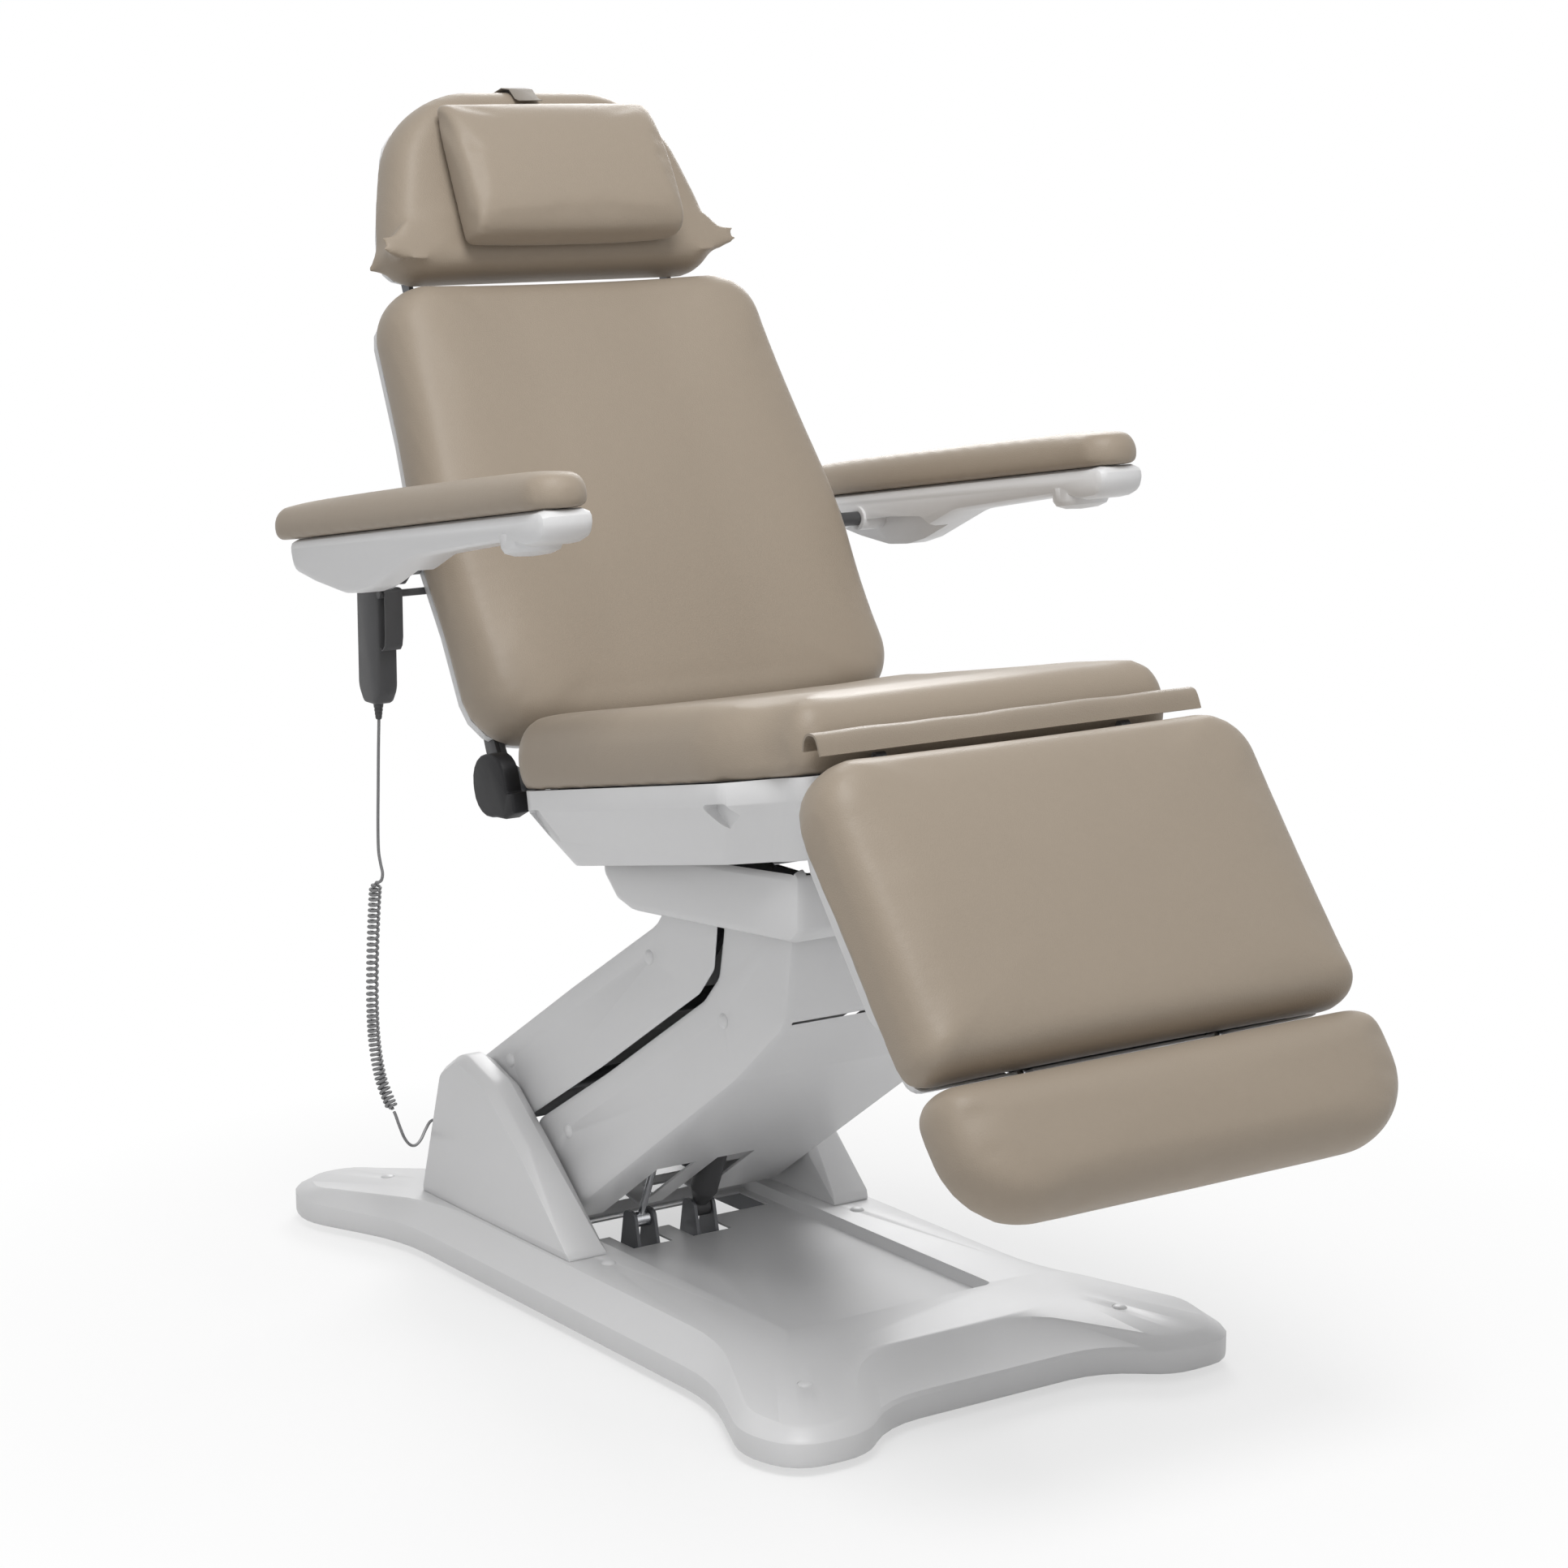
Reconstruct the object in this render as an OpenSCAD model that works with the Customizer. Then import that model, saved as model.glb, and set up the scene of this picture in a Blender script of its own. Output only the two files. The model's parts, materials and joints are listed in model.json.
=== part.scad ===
// Powered beauty treatment chair: plinth, parallelogram lift, tilting seat, reclining back,
// adjustable head, leg and foot sections, fold-up armrests and a corded handset.
// The foot end is at -Y and the head at +Y. Every section is drawn at its photographed angle.

/* [Base] */
// Distance from the middle of the plinth to the origin, front to back
base_y = 170; // [150:1:230]
// Height of the plinth's flat top above the floor
plinth_h = 72; // [66:1:84]
// Height of the plinth's lower rim above the floor
plinth_gap = 12; // [8:1:16]
// Half width of the plinth at its waist
waist_x = 299; // [285:1:320]
// Half distance between the left and right feet
foot_x = 290; // [280:1:300]
// Half distance between the front and rear feet
foot_y = 565; // [550:1:600]
// Wall of the plinth cover
plinth_wall = 4; // [3:0.5:6]
// Half width of the recess in the plinth's top
recess_x = 165; // [140:1:175]
// Front end of the recess
recess_front = -368; // [-400:1:-330]
// Depth of the recess
recess_depth = 15; // [10:1:20]
// Radius of a levelling disc
disc_r = 22; // [18:1:26]

/* [Lift] */
// Lower pivot of the lift arm, behind the middle of the plinth
pivot_y = 190; // [185:1:195]
// Height of the lower pivot of the lift arm
pivot_z = 150; // [147:1:154]
// Upper link's pivot, behind the arm's pivot
link_dy = 110; // [106:1:112]
// Upper link's pivot, above the arm's pivot
link_dz = 85; // [82:1:88]
// Reach of the lift arm, forward
arm_dy = 480; // [470:1:490]
// Rise of the lift arm in the pose that is drawn
arm_dz = 440; // [430:1:450]
// Radius of the four lift shafts
shaft_r = 12; // [10:0.5:14]
// Running clearance of a shaft in its bore
run_gap = 0.05; // [0.02:0.01:0.1]
// Half width over the lower arm's cover
arm_cover_x = 184; // [180:1:185]
// Wall of the arm, link and carriage covers
cover_wall = 3; // [2:0.5:4]

/* [Seat] */
// Tilt of the seat, raised at the front, in degrees
seat_tilt = 10.3; // [8:0.1:12]
// Half width of the seat, back and leg cushions at their widest
seat_x = 337; // [330:1:345]
// Half width of the seat's narrow front
seat_neck_x = 291; // [280:1:300]
// Length of the seat cushion
seat_len = 632; // [620:1:645]
// Thickness of the seat cushion at its shoulder
seat_t = 92; // [80:1:100]
// Depth of the seat tray under the cushion
tray_depth = 103; // [96:1:110]

/* [Back] */
// Angle of the back from the vertical, in degrees
back_lean = 30.7; // [28:0.1:33]
// Length of the back cushion
back_len = 677; // [650:1:684]
// Half width of the back cushion at its top
back_top_x = 300; // [290:1:312]
// Thickness of the back cushion at its shoulder
back_t = 88; // [80:1:96]
// Depth of the back shell behind the cushion
back_shell_t = 42; // [34:1:50]

/* [Head] */
// Angle of the head section from the vertical, in degrees
head_lean = 23.4; // [20:0.1:26]
// Length of the head cushion
head_len = 276; // [260:1:290]
// Half width of the head cushion at its widest
head_x = 268; // [255:1:280]
// Thickness of the head cushion at its shoulder
head_t = 80; // [70:1:90]
// Length of the pillow across the head
pillow_w = 340; // [300:1:380]

/* [Leg and foot] */
// Angle of the leg section from the vertical, in degrees
leg_lean = 37.6; // [36:0.1:40]
// Length of the leg cushion
leg_len = 413; // [400:1:416]
// Length of the foot cushion
foot_len = 172; // [150:1:185]
// Thickness of the leg and foot cushions at their shoulders
leg_t = 84; // [74:1:92]

/* [Armrests and handset] */
// Slope of the armrests, rising to the front, in degrees
arm_slope = 9; // [7:0.1:11]
// Middle of an armrest from the middle of the chair
armrest_x = 430; // [426:1:440]
// Half width of an armrest's pad
armrest_half = 45; // [40:1:47]
// Length of an armrest's pad
armrest_len = 714; // [680:1:730]
// Length of the handset's body
handset_len = 158; // [140:1:165]
// Diameter of the handset's cord
cord_d = 4.4; // [4:0.1:5]
// Outer diameter of the curly part of the cord
curl_d = 18; // [16:0.5:20]
// Number of curls
curl_count = 44; // [36:1:50]

/* [Hidden] */

white = "#e4e4e4";
taupe = "#a09484";
steel = "#6f7276";
dark = "#2a2a2b";
grey = "#636464";

// Vector helpers
function unit(v) = v / norm(v);
function turn_left(v) = [-v[1], v[0]];
function centre(pts) = let (n = len(pts)) [for (k = [0:1]) [for (p = pts) p[k]] * [for (p = pts) 1 / n]];

// Round one corner p between its neighbours a and b with n steps
function corner_arc(a, p, b, r, n) =
  let (
    u = unit(a - p),
    v = unit(b - p),
    half = acos(max(-1, min(1, u * v))) / 2,
    c = p + unit(u + v) * r / sin(half),
    s = p + u * r / tan(half) - c,
    e = p + v * r / tan(half) - c,
    a0 = atan2(s[1], s[0]),
    sweep = (atan2(e[1], e[0]) - a0 + 540) % 360 - 180
  )
  [for (i = [0:n]) c + r * [cos(a0 + sweep * i / n), sin(a0 + sweep * i / n)]];

// Points along an edge, drawn in towards the inside by pull at its middle
function edge_points(a, b, m, pull) =
  [for (j = [1:1:m]) let (u = j / (m + 1)) a + (b - a) * u + pull * sin(180 * u) * turn_left(unit(b - a))];

// Closed outline from corner points, radii, steps per corner and points per edge
function outline(pts, radii, n, m = 0, pull = 0) =
  let (
    k = len(pts),
    arcs = [for (i = [0:k - 1]) corner_arc(pts[(i + k - 1) % k], pts[i], pts[(i + 1) % k], radii[i], n)]
  )
  [for (i = [0:k - 1]) each concat(arcs[i], edge_points(arcs[i][n], arcs[(i + 1) % k][0], m, pull))];

// The same outline moved in by d
function inset(pts, d) =
  let (k = len(pts))
  [for (i = [0:k - 1]) pts[i] + d * turn_left(unit(pts[(i + 1) % k] - pts[(i + k - 1) % k]))];

function at_height(pts, z) = [for (p = pts) [p[0], p[1], z]];
function shrink(pts, f) = let (c = centre(pts)) [for (p = pts) c + f * (p - c)];

// Four-cornered outline from half widths and ends
function quad(x0, x1, y0, y1) = [[-x0, y0], [x0, y0], [x1, y1], [-x1, y1]];

// Solid skin through rings of equal length, with flat ends
module skin(rings) {
  n = len(rings[0]);
  last = len(rings) - 1;
  faces = concat(
    [[for (i = [0:n - 1]) i]],
    [for (k = [0:last - 1]) for (i = [0:n - 1])
      let (j = (i + 1) % n, a = k * n + i, b = k * n + j)
      each [[a, a + n, b + n], [a, b + n, b]]],
    [[for (i = [n - 1:-1:0]) last * n + i]]
  );
  polyhedron([for (r = rings) each r], faces, convexity = 8);
}

// Upholstered pad: drawn-in sides, a rounded shoulder and a crown
module cushion(pts, t, shoulder, crown) {
  side = [[shoulder * 0.3, 0], [shoulder * 0.05, 0.13], [0, 0.38], [shoulder * 0.1, 0.66],
    [shoulder * 0.42, 0.88], [shoulder, 1]];
  top = inset(pts, shoulder);
  skin(concat(
    [for (s = side) at_height(inset(pts, s[0]), s[1] * t)],
    [for (f = [0.7, 0.25]) at_height(shrink(top, f), t + crown * (1 - f * f))]
  ));
}

// Frames of the sections, each turned to its photographed angle
module place() translate([0, base_y, 0]) children();
module leaning(angle) place() rotate([-angle, 0, 0]) children();
module upright_pad(y) translate([0, y, 0]) rotate([90, 0, 0]) children();

// A plate in the side plane, from x to x + t, with its outline in (y, z)
module side_plate(x, t) translate([x, 0, 0]) rotate([90, 0, 90]) linear_extrude(t) children();
module rounded(pts, r) polygon(outline(pts, [for (p = pts) r], 6));
module cross_rod(y, z, r, x0, x1) translate([x0, y, z]) rotate([0, 90, 0])
  cylinder(h = x1 - x0, r = r, $fn = 48);

// Plinth
function flip_x(v) = [for (i = [len(v) - 1:-1:0]) [-v[i][0], v[i][1]]];
function flip_y(v) = [for (i = [len(v) - 1:-1:0]) [v[i][0], -v[i][1]]];
function four_feet(q) = concat(q, flip_x(q), flip_x(flip_y(q)), flip_y(q));
function reversed(v) = [for (i = [len(v) - 1:-1:0]) v[i]];
function four_radii(r) = concat(r, reversed(r), r, reversed(r));
plinth_foot = [
  [-waist_x, -foot_y + 170], [-foot_x - 82, -foot_y + 5], [-foot_x - 55, -foot_y - 80],
  [-foot_x + 50, -foot_y - 83], [-foot_x + 120, -foot_y - 20]
];
crease_foot = [
  [-waist_x + 44, -foot_y + 220], [-foot_x - 60, -foot_y + 17], [-foot_x - 38, -foot_y - 59],
  [-foot_x + 40, -foot_y - 63], [-foot_x + 155, -foot_y + 84]
];
deck_foot = [
  [-waist_x + 49, -foot_y + 235], [-waist_x + 47, -foot_y + 125], [-waist_x + 55, -foot_y + 99],
  [-waist_x + 84, -foot_y + 91], [-waist_x + 149, -foot_y + 90]
];
plinth_rim = outline(four_feet(plinth_foot), four_radii([300, 100, 58, 88, 136]), 4);
plinth_crease = outline(four_feet(crease_foot), four_radii([300, 60, 44, 68, 118]), 4);
plinth_deck = outline(four_feet(deck_foot), four_radii([4000, 30, 22, 30, 4000]), 4);
foot_drop = 14;
function deck_z(y) = plinth_h - foot_drop * max(0, min(1, (abs(y) - foot_y + 95) / 110));
function creased(pts, down) = [for (p = pts) [p[0], p[1], deck_z(p[1]) - down]];
recess_floor = plinth_h - recess_depth;
recess_rear = 128;
bracket_y = 100;
bracket_z = 85;
actuator_x = 10;
strut_x = -88;
link_y = pivot_y + link_dy;
link_z = pivot_z + link_dz;
cheek_x = 218;
cheek_t = 8;

module base_cover() place() color(white) difference() {
  skin([
    at_height(inset(plinth_crease, plinth_wall + 2), recess_floor - 3),
    at_height(inset(plinth_rim, plinth_wall + 2), plinth_h - 35),
    at_height(inset(plinth_rim, plinth_wall), plinth_gap),
    at_height(inset(plinth_rim, 1.5), plinth_gap),
    at_height(plinth_rim, plinth_gap + 5),
    at_height(plinth_rim, plinth_h - 30),
    at_height(inset(plinth_rim, 4), plinth_h - 25),
    creased(inset(plinth_crease, -4), 3),
    creased(plinth_crease, 0),
    at_height(plinth_deck, plinth_h)
  ]);
  skin([
    at_height(outline(quad(recess_x - 5, recess_x - 5, recess_front + 5, recess_rear + 90), [8, 8, 8, 8],
      4), recess_floor),
    at_height(outline(quad(recess_x, recess_x, recess_front, recess_rear + 95), [12, 12, 12, 12], 4),
      plinth_h + 1)
  ]);
  translate([-recess_x + 18, recess_rear, plinth_gap]) cube([2 * recess_x - 36, 72, plinth_h]);
  for (x = [strut_x, actuator_x]) translate([x - 32, bracket_y - 34, plinth_gap]) cube([64, 64, plinth_h]);
  translate([-20.5, foot_y + 10, 22]) cube([41, 20, 16]);
  for (s = [-1, 1]) translate([s * (cheek_x + cheek_t / 2) - 6, pivot_y - 125, plinth_gap])
    cube([12, 242, plinth_h]);
  for (x = [-1, 1]) for (y = [-1, 1]) translate([x * (foot_x - 40), y * (foot_y - 40), 0]) {
    translate([0, 0, plinth_gap]) cylinder(h = plinth_h, r = plug_stem_r + 0.3, $fn = 24);
    translate([0, 0, plug_seat]) cylinder(h = 20, r = plug_r + 0.6, $fn = 40);
  }
  for (x = [-1, 1]) translate([x * mid_plug_x, -6, plinth_gap])
    cylinder(h = plinth_h, r = plug_stem_r + 0.3, $fn = 24);
}

// Domed plugs
plug_r = 9.5;
plug_stem_r = 5;
plug_seat = 66;
mid_plug_x = 206;
module plug(stem) {
  difference() {
    scale_dome(plug_r, 4);
    translate([0, 0, -2 * plug_r]) cube(4 * plug_r, center = true);
  }
  translate([0, 0, -stem]) cylinder(h = stem, r = plug_stem_r, $fn = 24);
}
// Shallow dome of radius r and height h, cut from a sphere
module scale_dome(r, h) {
  big = (r * r + h * h) / (2 * h);
  intersection() {
    translate([0, 0, h - big]) sphere(r = big, $fn = 64);
    cylinder(h = h, r = r, $fn = 32);
  }
}
module plinth_plugs() place() color(white) {
  for (x = [-1, 1]) for (y = [-1, 1])
    translate([x * (foot_x - 40), y * (foot_y - 40), plug_seat + 0.2]) plug(6);
  for (x = [-1, 1]) translate([x * mid_plug_x, -6, plinth_h + 0.2]) plug(6);
}

// Levelling feet: disc and threaded stem up into the frame
module levelling_feet() place() color(dark)
  for (x = [-1, 1]) for (y = [-1, 1]) translate([x * foot_x, y * foot_y, 0]) {
    rotate_extrude($fn = 48) polygon([[0, 0], [disc_r, 0], [disc_r, 5], [disc_r - 5, 10], [0, 10]]);
    translate([0, 0, 9]) cylinder(h = 26, r = 6, $fn = 24);
  }

// Welded frame under the plinth, with the cheek plates and the two fixed shafts
rail_x = 178;
rail_z = 20;
rail_h = 28;
module base_frame() place() color(steel) difference() {
  union() {
    for (s = [-1, 1]) {
      translate([s * rail_x - 15, -foot_y + 110, rail_z]) cube([30, 2 * foot_y - 220, rail_h]);
      side_plate(s > 0 ? cheek_x : -cheek_x - cheek_t, cheek_t)
        rounded([[pivot_y - 118, rail_z + 2], [pivot_y + 98, rail_z + 2], [link_y + 28, link_z - 40],
          [link_y + 26, link_z + 22], [link_y - 30, link_z + 22], [pivot_y - 40, pivot_z + 22]], 12);
      translate([s > 0 ? rail_x - 1 : -cheek_x - cheek_t, pivot_y - 100, rail_z])
        cube([cheek_x + cheek_t - rail_x + 1, 180, 10]);
    }
    for (s = [0, 1]) mirror([0, s, 0]) translate([-waist_x + 45, foot_y - 125, rail_z])
      cube([2 * waist_x - 90, 80, 16]);
    for (x = [-1, 1]) for (y = [-1, 1]) translate([x * (foot_x - 10), y * (foot_y - 10), rail_z])
      linear_extrude(16) rounded([[-50, -50], [50, -50], [50, 50], [-50, 50]] * 0.8, 14);
    cross_rod(pivot_y, pivot_z, shaft_r, -cheek_x - cheek_t, cheek_x + cheek_t);
    cross_rod(link_y, link_z, shaft_r, -cheek_x - cheek_t, cheek_x + cheek_t);
    for (x = [strut_x, actuator_x]) clevis(x);
    translate([-rail_x, bracket_y - 32, rail_z]) cube([2 * rail_x, 60, 10]);
  }
  for (x = [-1, 1]) for (y = [-1, 1]) translate([x * foot_x, y * foot_y, 0])
    cylinder(h = 60, r = 6, $fn = 24);
}

// Two ears and a pin that carry the foot of the actuator or the strut
ear_gap = 13;
ear_t = 5;
pin_r = 6;
module clevis(x) {
  for (s = [-1, 1]) side_plate(s > 0 ? x + ear_gap : x - ear_gap - ear_t, ear_t)
    rounded([[bracket_y - 30, rail_z + 4], [bracket_y + 26, rail_z + 4], [bracket_y + 13, bracket_z + 14],
      [bracket_y - 13, bracket_z + 14]], 11);
  cross_rod(bracket_y, bracket_z, pin_r, x - ear_gap - ear_t, x + ear_gap + ear_t);
}

// Tower cheeks: tapering covers over the cheek plates
tower_in = 190;
tower_out = 251;
tower_profile = [[26, plinth_h + 0.3], [423, plinth_h + 0.3], [374, 262], [318, 298], [236, 272],
  [142, 200]];
module tower() difference() {
  hull() {
    side_plate(tower_in, 58) polygon(outline(quad_yz(26, 423, plinth_h + 0.3, plinth_h + 5),
      [1, 1, 1, 1], 2));
    side_plate(cheek_x - 5, 22) polygon(outline(tower_profile, [1, 1, 30, 34, 50, 60], 5));
    side_plate(tower_in + 4, 20) polygon(outline(inset(tower_profile, 14), [1, 1, 24, 26, 40, 50], 5));
    side_plate(tower_out - 1, 1) polygon(outline(inset(tower_profile, 11), [1, 1, 20, 24, 40, 50], 5));
    side_plate(tower_out - 12, 1) polygon(outline(inset(tower_profile, 1), [1, 1, 30, 34, 50, 60], 5));
  }
  side_plate(cheek_x - 1, cheek_t + 2) polygon(inset(
    [[pivot_y - 124, plinth_h - 20], [pivot_y + 104, plinth_h - 20], [link_y + 34, link_z - 40],
      [link_y + 30, link_z + 27], [link_y - 32, link_z + 27], [pivot_y - 45, pivot_z + 27]], 0));
  cross_rod(pivot_y, pivot_z, shaft_r + 1, tower_in - 5, cheek_x + 1);
  cross_rod(link_y, link_z, shaft_r + 1, tower_in - 5, cheek_x + 1);
}
function quad_yz(y0, y1, z0, z1) = [[y0, z0], [y1, z0], [y1, z1], [y0, z1]];
module tower_left() place() color(white) tower();
module tower_right() place() color(white) mirror([1, 0, 0]) tower();

// Lift arm, upper link and carriage
arm_y = pivot_y - arm_dy;
arm_z = pivot_z + arm_dz;
carriage_link_y = arm_y + link_dy;
carriage_link_z = arm_z + link_dz;
arm_plate_x = 166;
arm_plate_t = 10;
link_plate_x = 142;
link_plate_t = 9;
lug_y = -20;
lug_z = 360;
link_play = 0.5;

// Side-plane outline turned into a skin whose long edges are rounded
module side_skin(pts, half, r) {
  steps = [[0, 1], [0.3, 0.3], [1, 0]];
  rings = concat(
    [for (s = steps) [-half + s[0] * r, s[1] * r]],
    [for (s = reversed(steps)) [half - s[0] * r, s[1] * r]]
  );
  skin([for (q = rings) [for (p = inset(pts, q[1])) [q[0], p[0], p[1]]]]);
}

// Hollow of a cover: narrower near its side walls, where the outside is rounded by about r
module side_hollow(pts, half, r) {
  side_plate(-half + r, 2 * (half - r)) polygon(pts);
  side_plate(-half + cover_wall, 2 * (half - cover_wall)) polygon(inset(pts, r));
}

module lift_arm_frame() place() color(steel) difference() {
  union() {
    for (x = [-arm_plate_x - arm_plate_t, arm_plate_x]) side_plate(x, arm_plate_t)
      rounded([[pivot_y - 20, pivot_z - 32], [pivot_y + 30, pivot_z - 30], [pivot_y + 30, pivot_z + 32],
        [30, 292], [-205, 440], [arm_y + 28, 500], [arm_y + 28, arm_z + 28], [arm_y - 28, arm_z + 28],
        [arm_y - 42, 490], [-262, 402], [-75, 272], [85, 160]], 20);
    cross_rod(-150, 355, 22, -arm_plate_x, arm_plate_x);
    cross_rod(140, 205, 12, -arm_plate_x, arm_plate_x);
    cross_rod(lug_y, lug_z, pin_r, -120, 45);
    for (x = [-122, -60, -32, 41]) side_plate(x, 6)
      rounded([[lug_y + 14, lug_z - 14], [lug_y + 14, lug_z + 14], [lug_y - 14, lug_z + 14],
        [-172, 372], [-160, 330]], 10);
  }
  for (s = [-1, 1]) {
    cross_rod(pivot_y, pivot_z, shaft_r + run_gap, s * 171 - 20, s * 171 + 20);
    cross_rod(arm_y, arm_z, shaft_r + run_gap, s * 171 - 20, s * 171 + 20);
  }
}

arm_side = [
  [pivot_y - 38, 84], [pivot_y + 24, 96], [pivot_y + 44, 150], [217, 219], [35, 327], [-200, 476],
    [-233, 512],
  [-244, 573], [-244, 622], [-401, 622], [-401, 585], [-386, 476], [-276, 381]
];
arm_radii = [16, 20, 20, 40, 400, 40, 20, 60, 15, 15, 80, 60, 100];
arm_outline = outline(arm_side, arm_radii, 4);
module lift_arm_cover() place() color(white) difference() {
  side_skin(arm_outline, arm_cover_x, 12);
  side_skin([
    [pivot_y - 38, 84 + cover_wall * 1.4], [pivot_y + 21, 99], [300, 150], [300, 400], [100, 600],
    [-100, 700], [-401 + cover_wall, 700], [-401 + cover_wall, 585], [-386 + cover_wall, 478], [-275, 385]
  ], arm_cover_x - cover_wall, 12);
  for (x = [strut_x, actuator_x]) translate([x - 30, 8, 60]) cube([62, 190, 142]);
  for (s = [-1, 1]) cross_rod(pivot_y, pivot_z, shaft_r + 2, s * arm_cover_x - 8, s * arm_cover_x + 8);
  plug_holes(arm_cover_x, arm_plug_spots);
}

// Plugs lie in the side faces, two on each side of a cover
module side_plugs(half, spots) for (s = [0, 1]) mirror([s, 0, 0]) for (p = spots)
  translate([half + 0.2, p[0], p[1]]) rotate([0, 90, 0]) plug(cover_wall + 2);
module plug_holes(half, spots) for (p = spots) for (s = [-1, 1])
  cross_rod(p[0], p[1], plug_stem_r + 0.3, s * half - 6, s * half + 6);
arm_plug_spots = [[-250, 456], [129, 220]];
link_plug_spots = [[-85.5, 507.5], [272, 289]];
module lift_arm_plugs() place() color(white) side_plugs(arm_cover_x, arm_plug_spots);

link_cover_x = arm_cover_x + 5.5;
link_side = [
  [217, 223], [310, 178], [376, 262], [116, 424], [-116, 564], [-128, 640], [-243, 640], [-243, 573],
  [-236, 520], [-202, 481], [35, 331]
];
link_radii = [120, 24, 24, 800, 60, 14, 14, 80, 20, 40, 400];
module upper_link_cover() place() color(white) difference() {
  side_skin(outline(link_side, link_radii, 4), link_cover_x, 6);
  side_hollow([
    [150, 140], [276, 140], [360.2, 247], [356, 270.6], [-118.9, 562], [-124.6, 598], [-100, 598], [-100, 700],
    [-400, 700], [-400, 400]
  ], link_cover_x, 6);
  for (s = [-1, 1]) cross_rod(link_y, link_z, shaft_r + 2, s * link_cover_x - 8, s * link_cover_x + 8);
  plug_holes(link_cover_x, link_plug_spots);
}
module upper_link_plugs() place() color(white) side_plugs(link_cover_x, link_plug_spots);

module upper_link_frame() place() color(steel) difference() {
  union() {
    for (x = [-link_plate_x - link_plate_t, link_plate_x]) side_plate(x, link_plate_t)
      rounded([[link_y - 18, link_z - 26], [link_y + 26, link_z - 22], [link_y + 26, link_z + 24],
        [100, 402], [-100, 530], [carriage_link_y + 26, 590], [carriage_link_y + 24, carriage_link_z + 24],
        [carriage_link_y - 24, carriage_link_z + 24], [carriage_link_y - 24, 560], [-150, 490],
        [20, 372], [190, 262]], 18);
    cross_rod(60, 398, 14, -link_plate_x, link_plate_x);
  }
  for (s = [-1, 1]) {
    cross_rod(link_y, link_z, shaft_r + run_gap, s * link_plate_x - 20, s * link_plate_x + 20);
    cross_rod(carriage_link_y, carriage_link_z, shaft_r + link_play, s * link_plate_x - 20,
      s * link_plate_x + 20);
  }
}

tilt_y = -40;
tilt_z = 672;
carriage_plate_x = 126;
carriage_plate_t = 8;
tilt_rod_x = 96;
module carriage_frame() place() color(steel) difference() {
  union() {
    for (x = [-carriage_plate_x - carriage_plate_t, carriage_plate_x]) side_plate(x, carriage_plate_t)
      rounded([[arm_y - 26, arm_z - 26], [arm_y + 26, arm_z - 26], [-160, 628], [-75, 640],
        [tilt_y + 4, tilt_z - 17],
        [tilt_y + 17, tilt_z - 4], [tilt_y + 17, tilt_z + 17], [tilt_y - 20, tilt_z + 22], [-200, 700],
        [arm_y - 26, 640]], 7);
    cross_rod(arm_y, arm_z, shaft_r, -arm_plate_x - arm_plate_t, arm_plate_x + arm_plate_t);
    cross_rod(carriage_link_y, carriage_link_z, shaft_r, -link_plate_x - link_plate_t,
      link_plate_x + link_plate_t);
    cross_rod(-95, 650, 14, -carriage_plate_x, carriage_plate_x);
    for (s = [-1, 1]) {
      side_plate(s > 0 ? tilt_rod_x : -tilt_rod_x - 8, 8)
        rounded([[-108, 640], [tilt_y + 2, tilt_z - 17], [tilt_y + 16, tilt_z - 6],
          [tilt_y + 16, tilt_z + 16],
          [tilt_y - 14, tilt_z + 17], [-115, 664]], 6);
      for (y = [-105, -440]) translate([s > 0 ? carriage_plate_x : -carriage_x + cover_wall, y, 640])
        cube([carriage_x - cover_wall - carriage_plate_x, 24, 20]);
    }
    translate([-carriage_plate_x, -440, 640]) cube([2 * carriage_plate_x, 24, 20]);
    for (s = [-1, 1]) translate([s > 0 ? carriage_plate_x : -carriage_plate_x - carriage_plate_t, -440,
      640])
      cube([carriage_plate_t, 150, 20]);
  }
  for (s = [-1, 1]) cross_rod(tilt_y, tilt_z, shaft_r + run_gap, s * 100 - 60, s * 100 + 60);
}

carriage_x = 245;
carriage_side = [
  [-126, 583], [-90, 592], [-57, 622], [-57, 664], [-500, 704], [-500, 626], [-482, 610]
];
module carriage_cover() place() color(white) difference() {
  side_skin(outline(carriage_side, [20, 16, 18, 15, 15, 16, 20], 4), carriage_x, 13);
  side_hollow([
    [-126, 583 + cover_wall], [-92, 596], [-57 - cover_wall, 625], [-57 - cover_wall, 720],
    [-500 + cover_wall, 760], [-500 + cover_wall, 630], [-480, 613]
  ], carriage_x, 16);
  translate([-arm_cover_x - 12, -430, 560]) cube([2 * arm_cover_x + 24, 353, 70]);
  translate([-carriage_plate_x - 14, -75, 632]) cube([2 * carriage_plate_x + 28, 30, 60]);
}

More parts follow.
